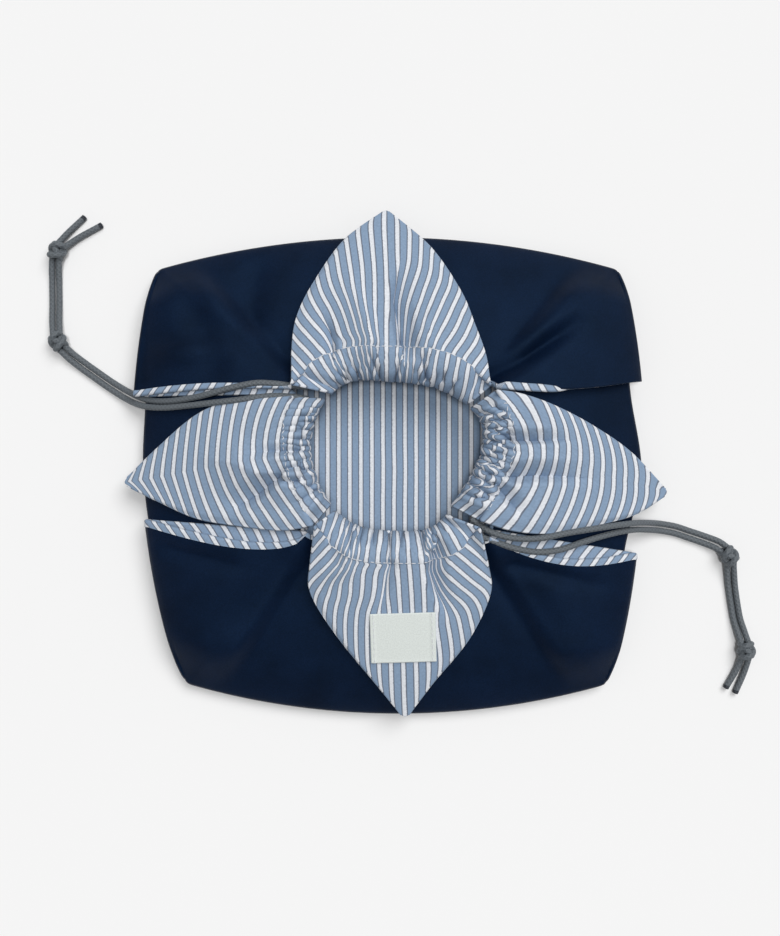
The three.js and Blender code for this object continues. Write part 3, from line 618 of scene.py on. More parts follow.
def inset_row(row, inset, height):
    angle = angle_of(row[:, 0], row[:, 1])
    x, y = polar(angle, distance_of(row[:, 0], row[:, 1]) - inset)
    return np.stack([x, y, np.full_like(x, height)], axis=-1)


def body_surface():
    """The cloth's middle surface, from the bottom's middle out, round the edge and up to the rim."""
    wall, ears, layers, outs = body_columns()
    edge = wall[0]
    bottom = inset_row(edge, FLOOR_INSET, SEAT)
    middle = np.array([*BOTTOM_MIDDLE, SEAT])
    rows = [mix(middle, bottom, f) for f in np.linspace(0, 1, BOTTOM_ROWS + 1)[1:]]
    for turn in np.linspace(0, np.pi / 2, EDGE_ROWS + 1)[1:-1]:
        height = SEAT + (EDGE_HEIGHT - SEAT) * (1 - math.cos(turn))
        rows.append(inset_row(edge, FLOOR_INSET * (1 - math.sin(turn)), height))
    return np.concatenate([np.array(rows), wall]), ears, layers, outs


def surface_normals(points, wrap):
    if wrap:
        across = np.roll(points, -1, axis=1) - np.roll(points, 1, axis=1)
    else:
        across = np.gradient(points, axis=1)
    along = np.gradient(points, axis=0)
    normals = np.cross(across, along)
    length = np.linalg.norm(normals, axis=-1, keepdims=True)
    return normals / np.maximum(length, 1e-12)


def upward_normals(points, row, column):
    """Normals of an open grid, on the side that faces up at one of its points."""
    normals = surface_normals(points, False)
    return -normals if normals[row, column, 2] < 0 else normals


def spline_at(values, t):
    """Smooth values of an evenly spaced table at positions t, from 0 to 1."""
    values = np.asarray(values, dtype=float)
    last = len(values) - 1
    x = np.clip(np.asarray(t) * last, 0, last - 1e-9)
    i = np.floor(x).astype(int)
    f = (x - i)[:, None]
    a, b = values[np.maximum(i - 1, 0)], values[i]
    c, d = values[i + 1], values[np.minimum(i + 2, last)]
    return b + 0.5 * f * (c - a + f * (2 * a - 5 * b + 4 * c - d + f * (3 * (b - c) + d - a)))


def petal_plan(petal, row, u, bend):
    out, side, left_out, left_side, right_out, right_side = row
    swell = np.abs(u) ** bend
    along = out + u * (right_out - left_out) / 2 + swell * ((right_out + left_out) / 2 - out)
    across = side + u * (right_side - left_side) / 2 + u * u * ((right_side + left_side) / 2 - side)
    axis = math.radians(petal["axis"])
    x = MOUTH_X + math.cos(axis) * along + math.sin(axis) * across
    y = MOUTH_Y + math.sin(axis) * along - math.cos(axis) * across
    return x, y


def drape_height(petal, x, y):
    lift = 0.0
    for ear in petal["over"]:
        lift = np.maximum(lift, sheet_lift(ear, x, y))
    return RIM_HEIGHT - PETAL_DROP * np.maximum(0, outwards(x, y)) ** DROP_POWER + lift


class Gathers:
    """Creases of a drawn-up casing: where each lies, how deep and wide it is, and how far it runs on."""

    def __init__(self, count, seed):
        draw = np.random.default_rng(seed)
        spacing = 2 / count
        self.at = -1 + spacing * (np.arange(count) + 0.5 + draw.uniform(-0.32, 0.32, count))
        self.depth = draw.uniform(0.3, 1.0, count)
        self.width = spacing * draw.uniform(0.12, 0.24, count)
        self.sway = spacing * draw.uniform(-0.55, 0.55, count)
        self.reach = draw.choice([0.1, 0.16, 0.24, 0.5], count, p=[0.3, 0.35, 0.2, 0.15])

    def casing(self, u, across):
        deep = 0.0
        for at, depth, width, sway in zip(self.at, self.depth, self.width, self.sway):
            off = np.abs(u - at - sway * (across - 0.5)) / width
            deep = np.maximum(deep, depth * np.exp(-(off ** 1.35)))
        return deep

    def leaf(self, u, v):
        deep = 0.0
        for at, depth, width, sway, reach in zip(self.at, self.depth, self.width, self.sway, self.reach):
            off = np.abs(u - at - sway * 0.5) / (width * (1 + 1.4 * v / reach))
            deep = deep + depth * np.exp(-(off ** 1.5)) * np.clip(1 - v / reach, 0, 1) ** 1.4
        return np.minimum(deep, 1.3)


def crease_depth(x, y, creases):
    """Depth of creases drawn as lines in plan, deepest where they start, and of ridges, as two fields."""
    fields = [0.0, 0.0]
    for deep, left, right, line in creases:
        line = np.array(line)
        steps = np.hypot(*np.diff(line, axis=0).T)
        starts = np.concatenate([[0], np.cumsum(steps)])
        nearest, width, place = np.full(x.shape, np.inf), 0.0, 0.0
        for (ax, ay), (bx, by), start, step in zip(line, line[1:], starts, steps):
            along = np.clip(((x - ax) * (bx - ax) + (y - ay) * (by - ay)) / step ** 2, 0, 1)
            off_x, off_y = x - ax - (bx - ax) * along, y - ay - (by - ay) * along
            off = np.hypot(off_x, off_y)
            on_left = (bx - ax) * off_y > (by - ay) * off_x
            closer = off < nearest
            nearest = np.where(closer, off, nearest)
            width = np.where(closer, np.where(on_left, left, right), width)
            place = np.where(closer, (start + along * step) / starts[-1], place)
        depth = np.abs(deep) * np.clip(1 - nearest / width, 0, 1) ** 1.3
        depth = depth * (ease(1, 0.2, place) + PIT * ease(0.14, 0, place))
        fields[deep < 0] = np.maximum(fields[deep < 0], depth)
    return fields


def crumple(x, y, axis, seed):
    """Uneven folds of squeezed cloth, from 0 in their creases up to about 1."""
    draw = np.random.default_rng(seed)
    height = 0.0
    for _ in range(CRUMPLE_FOLDS):
        turn = axis + math.pi / 2 + draw.uniform(-0.6, 0.6)
        wave = 2 * math.pi / draw.uniform(*CRUMPLE_PITCH)
        phase = draw.uniform(0, 2 * math.pi)
        height = height + np.abs(np.sin((x * math.cos(turn) + y * math.sin(turn)) * wave + phase))
    return height / CRUMPLE_FOLDS


def petal_surface(petal):
    """The petal's middle surface, rows from the lip inside the mouth out to the tip, the same before
    it is creased, and how much cloth the creases take up."""
    u = np.linspace(-1, 1, PETAL_COLUMNS)[None, :]
    gathers = Gathers(petal["gathers"], petal["seed"])
    others = Gathers(petal["gathers"], petal["seed"] + 1)
    folding = FOLDING[petal["stripes"]]
    bend = folding["bend"]
    section = spline_at(CASING, np.linspace(0, 1, CASING_ROWS))
    across, rise = section[:, :1], section[:, 1:]
    start, end, least = folding["kept"]
    inside = ease(*INSIDE_RISE, rise)
    drawn = ease(*FOLDED_PART, np.abs(u))
    deep = mix(gathers.casing(u, across), others.casing(u, across), ease(0.35, 0.65, across))
    deep = deep * mix(1, least, ease(start, end, across)) * drawn
    squeeze = 1 - folding["squeeze"] * deep
    deep, drawn = deep * inside, drawn * inside
    lip_x, lip_y = petal_plan(petal, petal["rows"][0], u, bend)
    stitch_x, stitch_y = petal_plan(petal, petal["rows"][1], u, bend)
    lift = np.maximum(0, drape_height(petal, stitch_x, stitch_y) - RIM_HEIGHT)
    rise = rise * mix(CASING_END, 1, ease(1, 0.8, np.abs(u)))
    x, y = mix(lip_x, stitch_x, across), mix(lip_y, stitch_y, across)
    casing = np.stack([x, y, RIM_HEIGHT + lift + rise], axis=-1)
    pulled = 0.5 + (across - 0.5) * squeeze
    x, y = mix(lip_x, stitch_x, pulled), mix(lip_y, stitch_y, pulled)
    z = RIM_HEIGHT + lift + rise * mix(1, squeeze, inside)
    z = z - folding["pinch"] * deep * ease(0.75, 0.1, across)
    rough = ease(petal["rough"] + 0.25, petal["rough"] - 0.15, across)
    z = z - folding["crumple"] * drawn * rough * (
        1 - crumple(x, y, math.radians(petal["axis"]), petal["seed"]))
    valley, ridge = crease_depth(x, y, petal["creases"])
    folded_casing = np.stack([x, y, z - (valley - ridge) * inside], axis=-1)

    v = np.linspace(0, 1, LEAF_ROWS + 1)[1:]
    rows = spline_at(np.array(petal["rows"][1:]), v)
    v = v[:, None]
    x, y = petal_plan(petal, [rows[:, i:i + 1] for i in range(6)], u, mix(bend, 2, ease(0, 0.4, v)))
    leaf = np.stack([x, y, drape_height(petal, x, y) + PETAL_LIFT + LEAF_RISE * (1 - v) ** 1.5], axis=-1)
    run_on = others.leaf(u, v) * ease(*FOLDED_PART, np.abs(u))
    curl = EDGE_CURL * ease(0.86, 1, np.abs(u)) * ease(0, 0.15, v)
    valley, ridge = crease_depth(x, y, petal["creases"])
    relief = valley - ridge + LEAF_GATHER * run_on + curl
    folded_leaf = leaf - relief[..., None] * (0, 0, 1)

    base = np.concatenate([casing, leaf])
    valley, ridge = crease_depth(base[..., 0], base[..., 1], petal["creases"])
    taken = FLAT_CLOTH + (valley + ridge) / CREASE_CLOTH
    taken[CASING_ROWS:] += RUN_ON_CLOTH * least * run_on
    return np.concatenate([folded_casing, folded_leaf]), base, taken


def grid_faces(rows, columns, wrap, start):
    r, c = np.meshgrid(np.arange(rows - 1), np.arange(columns if wrap else columns - 1), indexing="ij")
    after = (c + 1) % columns
    quads = [r * columns + c, r * columns + after, (r + 1) * columns + after, (r + 1) * columns + c]
    return start + np.stack(quads, axis=-1).reshape(-1, 4)


def volume_of(points, faces):
    total = 0.0
    for face in (faces[:, [0, 1, 2]], faces[:, [0, 2, 3]]):
        a, b, c = points[face[:, 0]], points[face[:, 1]], points[face[:, 2]]
        total += np.einsum("ij,ij->i", a, np.cross(b, c)).sum()
    return total


def make_piece(name, points, faces, uv, kinds, materials, poles=()):
    """A mesh piece of quads, with a fan of triangles to each pole, given as (point, ring, kind)."""
    if volume_of(points, faces) < 0:
        faces = faces[:, ::-1]
        poles = [(pole, ring[::-1], kind) for pole, ring, kind in poles]
    face_list = faces.tolist()
    kinds = list(kinds)
    for pole, ring, kind in poles:
        face_list += [[pole, b, a] for a, b in zip(ring, np.roll(ring, -1))]
        kinds += [kind] * len(ring)
    mesh = bpy.data.meshes.new(name)
    mesh.from_pydata(points.tolist(), [], face_list)
    for material in materials:
        mesh.materials.append(material)
    mesh.polygons.foreach_set("material_index", np.array(kinds, dtype=np.int32))
    mesh.polygons.foreach_set("use_smooth", np.ones(len(face_list), dtype=bool))
    loops = np.empty(len(mesh.loops), dtype=np.int32)
    mesh.loops.foreach_get("vertex_index", loops)
    layer = mesh.uv_layers.new(name="Cloth")
    layer.data.foreach_set("uv", uv[loops].astype(np.float32).ravel())
    mesh.validate()
    mesh.update()
    piece = bpy.data.objects.new(name, mesh)
    bpy.context.collection.objects.link(piece)
    return piece


def open_border(rows, columns):
    border = [(0, c) for c in range(columns)]
    border += [(r, columns - 1) for r in range(1, rows)]
    border += [(rows - 1, c) for c in range(columns - 2, -1, -1)]
    border += [(r, 0) for r in range(rows - 2, 0, -1)]
    return np.array(border)


def thick_sheet(name, front, back, uv, roll, materials):
    """A closed sheet between two open grids, its edge rolled by a rim that stands out by roll."""
    rows, columns = front.shape[:2]
    count = rows * columns
    border = open_border(rows, columns)
    inner = np.stack([np.clip(border[:, 0], 1, rows - 2), np.clip(border[:, 1], 1, columns - 2)], axis=-1)
    edge = border[:, 0] * columns + border[:, 1]
    middle = (front + back) / 2
    outward = middle[border[:, 0], border[:, 1]] - middle[inner[:, 0], inner[:, 1]]
    outward /= np.maximum(np.linalg.norm(outward, axis=-1, keepdims=True), 1e-9)
    rim = middle[border[:, 0], border[:, 1]] + outward * roll
    points = np.concatenate([front.reshape(-1, 3), back.reshape(-1, 3), rim])
    front_faces = grid_faces(rows, columns, False, 0)
    back_faces = grid_faces(rows, columns, False, count)[:, ::-1]
    ring = 2 * count + np.arange(len(edge))
    after, ring_after = np.roll(edge, -1), np.roll(ring, -1)
    upper = np.stack([after, edge, ring, ring_after], axis=-1)
    lower = np.stack([ring_after, ring, edge + count, after + count], axis=-1)
    faces = np.concatenate([front_faces, back_faces, upper, lower])
    kinds = [0] * len(front_faces) + [1] * len(back_faces) + [0] * len(upper) + [0] * len(lower)
    uv = uv.reshape(-1, 2)
    all_uv = np.concatenate([uv, uv, uv[edge]])
    return make_piece(name, points, faces, all_uv, kinds, materials)


def round_shell(name, front, back, uv, middle_front, middle_back, materials):
    """A closed sheet between two grids that run round a middle point, open only at their last row."""
    rows, columns = front.shape[:2]
    count = rows * columns
    points = np.concatenate([front.reshape(-1, 3), back.reshape(-1, 3), [middle_front], [middle_back]])
    front_faces = grid_faces(rows, columns, True, 0)
    back_faces = grid_faces(rows, columns, True, count)[:, ::-1]
    edge = (rows - 1) * columns + np.arange(columns)
    after = np.roll(edge, -1)
    rim_faces = np.stack([after, edge, edge + count, after + count], axis=-1)
    faces = np.concatenate([front_faces, back_faces, rim_faces])
    uv = uv.reshape(-1, 2)
    middle_uv = uv[:columns].mean(axis=0)
    all_uv = np.concatenate([uv, uv, [middle_uv], [middle_uv]])
    ring = np.arange(columns)
    poles = [(2 * count, ring, 0), (2 * count + 1, ring[::-1] + count, 0)]
    return make_piece(name, points, faces, all_uv, [0] * len(faces), materials, poles)


def row_lengths(points):
    steps = np.linalg.norm(np.diff(points, axis=1), axis=-1)
    return np.concatenate([np.zeros((len(points), 1)), np.cumsum(steps, axis=1)], axis=1)


def column_lengths(points):
    steps = np.linalg.norm(np.diff(points, axis=0), axis=-1)
    return np.concatenate([np.zeros((1, points.shape[1])), np.cumsum(steps, axis=0)])


def petal_uv(petal, base, taken):
    """Cloth coordinates: the first runs across the stripes, white at 0, the second along them."""
    middle = PETAL_COLUMNS // 2
    stitch = CASING_ROWS - 1
    u = np.linspace(-1, 1, PETAL_COLUMNS)[None, :]
    along = column_lengths(base)
    if petal["stripes"] == "along":
        flat = row_lengths(base)
        flat = flat - flat[:, middle:middle + 1]
        steps = np.diff(flat, axis=1) * (taken[:, 1:] + taken[:, :-1]) / 2
        creased = np.concatenate([np.zeros((len(base), 1)), np.cumsum(steps, axis=1)], axis=1)
        creased = creased - creased[:, middle:middle + 1]
        stripe = np.zeros_like(flat)
        for edge, sign in ((0, -1), (-1, 1)):
            wide = sign * flat[:, edge]
            cut = (along[-1, edge] - along[:, edge]) / math.sqrt(2) + wide[-1]
            spare = np.maximum(0, cut - wide)[:, None] * creased / np.abs(creased[:, edge])[:, None]
            side = flat * np.minimum(1, cut / wide)[:, None] + spare
            stripe = np.where(sign * u > 0, side, stripe)
        across = spline_at(CASING, np.linspace(0, 1, CASING_ROWS))[:stitch, :1]
        held = u * mix(CASING_FAN, 1, across)
        stripe[:stitch] = np.interp(held, u[0], stripe[stitch])
    else:
        stripe = along[-1:, middle:middle + 1] - along[:, middle:middle + 1] + 0 * along
        near = stripe[stitch:stitch + 1] + along[stitch:stitch + 1] - along
        rows = np.arange(len(base))[:, None]
        stripe = np.where(rows <= stitch, near, stripe)
        out = np.clip((rows - stitch) / LEAF_ROWS, 0, 1)
        left, left_leaf, right, right_leaf = petal["slant"]
        settled = ease(0, SLANT_SETTLED, out)
        shift = np.where(u < 0, mix(left, left_leaf, settled), mix(right, right_leaf, settled))
        draw = np.random.default_rng(petal["seed"])
        count = 2 * petal["gathers"] + 1
        zigzag = np.interp(u[0], np.linspace(-1, 1, count), draw.uniform(-ZIGZAG, ZIGZAG, count))
        held = ease(petal["rough"] + 0.15, petal["rough"] - 0.25, rows / stitch)
        held = held * ease(*FOLDED_PART, np.abs(u))
        waver = crumple(base[..., 0], base[..., 1], math.radians(petal["axis"]), petal["seed"] + 2)
        waver = waver - CRUMPLE_MEAN
        stripe = stripe + shift * np.abs(u) + (zigzag[None, :] + WAVER * waver) * held
        along = row_lengths(base)
    scale = STRIPE_REPEAT / petal["period"]
    return np.stack([stripe * scale - petal["first_white"], along], axis=-1)


def smooth_path(route, step):
    """Points about a step apart on a centripetal spline through the route."""
    route = [np.array(p) for p in route]
    route = [2 * route[0] - route[1], *route, 2 * route[-1] - route[-2]]
    points = []
    for a, b, c, d in zip(route, route[1:], route[2:], route[3:]):
        ta, tb, tc = [max(np.linalg.norm(q - p), 1e-9) ** 0.5 for p, q in ((a, b), (b, c), (c, d))]
        start = ((b - a) / ta - (c - a) / (ta + tb) + (c - b) / tb) * tb
        end = ((c - b) / tb - (d - b) / (tb + tc) + (d - c) / tc) * tb
        t = np.linspace(0, 1, SPLINE_SAMPLES, endpoint=False)[:, None]
        points.append(
            b + t * start + t * t * (3 * (c - b) - 2 * start - end) + t ** 3 * (2 * (b - c) + start + end)
        )
    points.append(route[-2][None, :])
    points = np.concatenate(points)
    length = np.concatenate([[0], np.cumsum(np.linalg.norm(np.diff(points, axis=0), axis=1))])
    count = max(8, int(round(length[-1] / step)))
    even = np.linspace(0, length[-1], count + 1)
    return np.stack([np.interp(even, length, points[:, i]) for i in range(3)], axis=-1), length[-1]


def path_frames(path, closed=False):
    """Tangent and two cross directions along a path, turned as little as can be."""
    if closed:
        tangents = np.roll(path, -1, axis=0) - np.roll(path, 1, axis=0)
    else:
        tangents = np.gradient(path, axis=0)
    tangents /= np.linalg.norm(tangents, axis=1, keepdims=True)
    side = np.cross(tangents[0], [0, 0, 1])
    sides = []
    for tangent in tangents:
        side = side - tangent * np.dot(side, tangent)
        side = side / np.linalg.norm(side)
        sides.append(side)
    sides = np.array(sides)
    return tangents, sides, np.cross(tangents, sides)


def braid_radius(angle, distance):
    """A braided cord's surface: two sets of plaits that cross over each other."""
    turn = 2 * np.pi * distance / BRAID_PITCH
    plaits = np.maximum(np.cos(BRAID_PLAITS * angle + turn), np.cos(BRAID_PLAITS * angle - turn))
    return CORD_RADIUS * (1 - BRAID_RELIEF * (1 - plaits))


def cord_piece(name, path, materials, closed=False):
    tangents, sides, ups = path_frames(path, closed)
    angle = np.linspace(0, 2 * np.pi, CORD_SIDES, endpoint=False)[None, :]
    steps = np.linalg.norm(np.diff(path, axis=0), axis=1)
    distance = np.concatenate([[0], np.cumsum(steps)])[:, None]
    spread = braid_radius(angle, distance)
    turn_x, turn_y = (spread * np.cos(angle))[..., None], (spread * np.sin(angle))[..., None]
    rings = path[:, None, :] + sides[:, None, :] * turn_x + ups[:, None, :] * turn_y
    count = len(path)
    girth = 2 * np.pi * CORD_RADIUS
    uv = np.stack(np.broadcast_arrays(angle / (2 * np.pi), distance / girth), axis=-1).reshape(-1, 2)
    points = rings.reshape(-1, 3)
    faces = grid_faces(count, CORD_SIDES, True, 0)
    if closed:
        last = (count - 1) * CORD_SIDES + np.arange(CORD_SIDES)
        first = np.arange(CORD_SIDES)
        joint = np.stack([last, np.roll(last, -1), np.roll(first, -1), first], axis=-1)
        faces = np.concatenate([faces, joint])
        return make_piece(name, points, faces, uv, [0] * len(faces), materials)
    singed = int(round(CORD_SINGED / np.mean(steps)))
    kinds = np.zeros(len(faces), dtype=int)
    kinds[(count - 1 - singed) * CORD_SIDES:] = 1
    points = np.concatenate([points, [path[0]], [path[-1] + tangents[-1] * CORD_RADIUS * CORD_TIP]])
    uv = np.concatenate([uv, [[0, 0]], [[0, distance[-1, 0] / girth]]])
    total = count * CORD_SIDES
    near, far = np.arange(CORD_SIDES), total - CORD_SIDES + np.arange(CORD_SIDES)
    poles = [(total, near, 0), (total + 1, far[::-1], 1)]
    return make_piece(name, points, faces, uv, kinds, materials, poles)


def turned_width(ears, layers, outs):
    """How far the lining is turned over the rim onto the outer cloth, for each column."""
    width = np.full(len(ears), TURNED_LEAST)
    for name, (at, spread, most) in TURNED_EDGES.items():
        shown = (ears == name) & (layers > 1.5)
        along = np.clip(1 - ((outs - at) / spread) ** 2, 0, 1) ** 0.5
        width = np.where(shown, TURNED_LEAST + (most - TURNED_LEAST) * along, width)
    return width


def lining_surface(points, normals, ears, layers, outs):
    """Both faces of the lining, with its edge turned over the rim, and its cloth coordinates. The shares
    of inner set how far each face of the turned edge stands off the cloth."""
    inner = -SEAT
    width = turned_width(ears, layers, outs)
    rim, rim_normal = points[-1], normals[-1]
    along = points[-1] - points[-3]
    along = along / np.linalg.norm(along, axis=-1, keepdims=True)
    tucked = np.zeros((len(ears), 1))
    for name, (start, end) in TUCKED.items():
        tucked[:, 0] = np.where(ears == name, ease(start, end, outs), tucked[:, 0])
    front, back = [points + normals * inner], [points - normals * GAP / 2]
    for turn in np.linspace(-np.pi / 2, np.pi / 2, TURN_STEPS + 1)[1:]:
        reach = GAP + CLOTH * 1.2 * math.cos(turn)
        over = rim + along * reach - rim_normal * inner * 1.25 * math.sin(turn)
        under = rim + along * GAP * 0.8 - rim_normal * inner * 1.05 * max(-0.2, math.sin(turn))
        flush = rim + rim_normal * inner * (0.75 - 0.25 * math.sin(turn))
        flush_under = rim + rim_normal * inner * (0.29 + 0.16 * math.sin(turn))
        front.append(mix(over, flush, tucked)[None])
        back.append(mix(under, flush_under, tucked)[None])
    behind = np.linalg.norm(points[::-1][:-1] - points[::-1][1:], axis=-1)
    behind = np.concatenate([np.zeros((1, len(ears))), np.cumsum(behind, axis=0)])
    for share in np.linspace(0, 1, TURNED_ROWS + 1)[1:]:
        sampled, sampled_normal = np.empty_like(rim), np.empty_like(rim)
        for column in range(len(ears)):
            for axis in range(3):
                values = points[::-1, column, axis]
                sampled[column, axis] = np.interp(width[column] * share, behind[:, column], values)
                values = normals[::-1, column, axis]
                sampled_normal[column, axis] = np.interp(width[column] * share, behind[:, column], values)
        over = sampled - sampled_normal * inner * mix(1.25, 1.14, share ** 3)
        under = sampled - sampled_normal * inner * 1.05
        back_in = rim - along * share * TURNED_LEAST
        front.append(mix(over, back_in + rim_normal * inner * 0.5, tucked)[None])
        back.append(mix(under, back_in + rim_normal * inner * 0.45, tucked)[None])
    front, back = np.concatenate(front), np.concatenate(back)

    stripe = front[..., 0] - LINING_WHITE
    down = front[..., 1].copy()
    total = column_lengths(front)
    rim_row = len(points) - 1
    inwards = total[rim_row:rim_row + 1] - total
    round_rim = row_lengths(points[-1:])[0]
    weight = ease(0.35, 0.6, np.linspace(0, 1, rim_row + 1 - BOTTOM_ROWS - EDGE_ROWS + 1))
    weight = np.concatenate([np.zeros(BOTTOM_ROWS + EDGE_ROWS - 1), weight])
    weight = np.concatenate([weight, np.ones(len(front) - len(weight))])[:, None]
    for name, sign in (("nw", -1), ("ne", 1), ("sw", -1), ("se", 1)):
        columns = np.where(ears == name)[0]
        start = columns[0] if sheet_first(name) else columns[-1]
        out = np.abs(round_rim[columns] - round_rim[start])
        slanted = sign * (out[None, :] - inwards[:, columns]) / math.sqrt(2)
        slanted_down = (out[None, :] + inwards[:, columns]) / math.sqrt(2)
        stripe[:, columns] = mix(stripe[:, columns], slanted, weight)
        down[:, columns] = mix(down[:, columns], slanted_down, weight)
    return front, back, np.stack([stripe, down], axis=-1)


def knot_path(at, heading, size):
    """The closed line of a pulled-tight knot: three wraps round the strands that cross each other."""
    t = np.linspace(0, 2 * np.pi, KNOT_STEPS, endpoint=False)
    along = size * 1.15 * np.sin(2 * t)
    spread = size * (1 + 0.16 * np.cos(2 * t))
    across, up = spread * np.cos(3 * t), spread * np.sin(3 * t)
    x = at[0] + math.cos(heading) * along - math.sin(heading) * across
    y = at[1] + math.sin(heading) * along + math.cos(heading) * across
    return np.stack([x, y, at[2] + up], axis=-1)


def label_surface(width, height):
    """The label's middle surface, laid on the south petal, and its cloth coordinates."""
    petal = bpy.data.objects["petal_south_sewn"].data
    tree = BVHTree.FromPolygons([v.co for v in petal.vertices], [p.vertices for p in petal.polygons])
    across = np.linspace(-0.5, 0.5, LABEL_COLUMNS)[None, :] * width
    down = np.linspace(0.5, -0.5, LABEL_ROWS)[:, None] * height
    across, down = np.broadcast_arrays(across, down)
    x = LABEL_MIDDLE[0] + across * math.cos(LABEL_TURN) - down * math.sin(LABEL_TURN)
    y = LABEL_MIDDLE[1] + across * math.sin(LABEL_TURN) + down * math.cos(LABEL_TURN)
    rest = np.empty_like(x)
    for index in np.ndindex(x.shape):
        hit = tree.ray_cast(Vector((x[index], y[index], RAY_HEIGHT)), Vector((0, 0, -1)))[0]
        if hit is None:
            raise RuntimeError("the label lies off its petal")
        rest[index] = hit.z
    even = rest.copy()
    for _ in range(LABEL_PASSES):
        wide = np.pad(even, 1, mode="edge")
        even = (wide[:-2, 1:-1] + wide[2:, 1:-1] + wide[1:-1, :-2] + wide[1:-1, 2:] + 4 * even) / 8
        even = np.maximum(even, rest)
    hem = ease(LABEL_HEM, LABEL_HEM - LABEL_HEM_EDGE, width / 2 - np.abs(across))
    z = even + LABEL_CLOTH / 2 + LABEL_GAP + LABEL_HEM_RISE * hem
    return np.stack([x, y, z], axis=-1), np.stack([across, down], axis=-1)


def new_material(name, roughness, sheen=0.0, sheen_tint=(1, 1, 1, 1), specular=0.3):
    material = bpy.data.materials.new(name)
    material.use_nodes = True
    shader = material.node_tree.nodes["Principled BSDF"]
    shader.inputs["Roughness"].default_value = roughness
    shader.inputs["Specular IOR Level"].default_value = specular
    shader.inputs["Sheen Weight"].default_value = sheen
    shader.inputs["Sheen Roughness"].default_value = 0.4
    shader.inputs["Sheen Tint"].default_value = sheen_tint
    return material, shader


def add_node(material, kind, inputs=(), **settings):
    node = material.node_tree.nodes.new(kind)
    for key, value in settings.items():
        setattr(node, key, value)
    for key, value in dict(inputs).items():
        if isinstance(value, bpy.types.NodeSocket):
            material.node_tree.links.new(value, node.inputs[key])
        else:
            node.inputs[key].default_value = value
    return node


def math_node(material, operation, a, b=None):
    inputs = {0: a} if b is None else {0: a, 1: b}
    return add_node(material, "ShaderNodeMath", inputs, operation=operation).outputs[0]


def colour_ramp(material, factor, stops):
    node = add_node(material, "ShaderNodeValToRGB", {"Fac": factor})
    elements = node.color_ramp.elements
    elements.remove(elements[1])
    elements[0].position, elements[0].color = stops[0]
    for position, colour in stops[1:]:
        elements.new(position).color = colour
    return node.outputs["Color"]


def noise(material, place, scale, detail=2.0):
    inputs = {"Vector": place, "Scale": scale, "Detail": detail}
    return add_node(material, "ShaderNodeTexNoise", inputs).outputs["Fac"]


def shade(colour, factor):
    """A colour made lighter or darker, with its alpha."""
    return tuple(min(1, factor * c) for c in colour) + (1,)


def colour_speckled(material, shader, base, grain, low, high):
    """Give the shader a base colour with a fine speckle over it, from low to high."""
    speckle = colour_ramp(material, grain, [(0.3, (low, low, low, 1)), (0.7, (high, high, high, 1))])
    inputs = {0: 1.0, 6: base, 7: speckle}
    tinted = add_node(material, "ShaderNodeMix", inputs, data_type="RGBA", blend_type="MULTIPLY")
    material.node_tree.links.new(tinted.outputs[2], shader.inputs["Base Color"])


def cloth_parts(material):
    """The cloth's own two coordinates, in metres, from its UV map."""
    uv = add_node(material, "ShaderNodeUVMap", uv_map="Cloth").outputs[0]
    split = add_node(material, "ShaderNodeSeparateXYZ", {0: uv})
    return uv, split.outputs[0], split.outputs[1]


def weave_height(material, first, second, yarn):
    """Height of a plain weave: yarns that pass over and under each other."""
    turn = math.pi / yarn
    warp = math_node(material, "SINE", math_node(material, "MULTIPLY", first, turn))
    weft = math_node(material, "SINE", math_node(material, "MULTIPLY", second, turn))
    cross = math_node(material, "MULTIPLY", warp, weft)
    return math_node(material, "ABSOLUTE", cross)


def add_bump(material, shader, height, distance, strength):
    bump = add_node(
        material, "ShaderNodeBump", {"Height": height, "Distance": distance, "Strength": strength}
    )
    material.node_tree.links.new(bump.outputs[0], shader.inputs["Normal"])


def navy_cotton(settings):
    material, shader = new_material("navy_cotton", 0.45, specular=0.16)
    shader.inputs["Specular Tint"].default_value = (0.3, 0.56, 1.0, 1)
    _, first, second = cloth_parts(material)
    place = add_node(material, "ShaderNodeTexCoord").outputs["Object"]
    wear = noise(material, place, 45.0, 3.0)
    yarn = noise(material, place, 1400.0, 1.0)
    deep, worn = shade(settings.navy, 0.72), shade(settings.navy, 1.25)
    base = colour_ramp(material, wear, [(0.3, deep), (0.5, (*settings.navy, 1)), (0.75, worn)])
    colour_speckled(material, shader, base, yarn, 0.8, 1.2)
    height = weave_height(material, first, second, settings.yarn)
    add_bump(material, shader, height, 0.00012, 0.5)
    return material


def striped_shirting(settings):
    material, shader = new_material("striped_shirting", 0.8, 0.1, (0.9, 0.95, 1, 1), 0.2)
    uv, first, second = cloth_parts(material)
    yarns = noise(material, uv, 900.0)
    waver = math_node(material, "MULTIPLY", math_node(material, "SUBTRACT", yarns, 0.5), 0.05)
    repeat = math_node(material, "ADD", math_node(material, "DIVIDE", first, settings.repeat), waver)
    phase = math_node(material, "FRACT", math_node(material, "ADD", repeat, settings.white / 2))
    white, line, ground = (*settings.white_colour, 1), (*settings.line_colour, 1), (*settings.ground, 1)
    start, soft = settings.white, 0.012
    stops = [
        (0.0, white), (start - soft, white), (start + soft, line), (start + settings.line - soft, line),
        (start + settings.line + soft, ground), (1 - settings.line - soft, ground),
        (1 - settings.line + soft, line), (1 - soft, line),
    ]
    stripes = colour_ramp(material, phase, stops)
    colour_speckled(material, shader, stripes, yarns, 0.9, 1.06)
    height = weave_height(material, first, second, settings.yarn)
    add_bump(material, shader, height, 0.0001, 0.4)
    return material


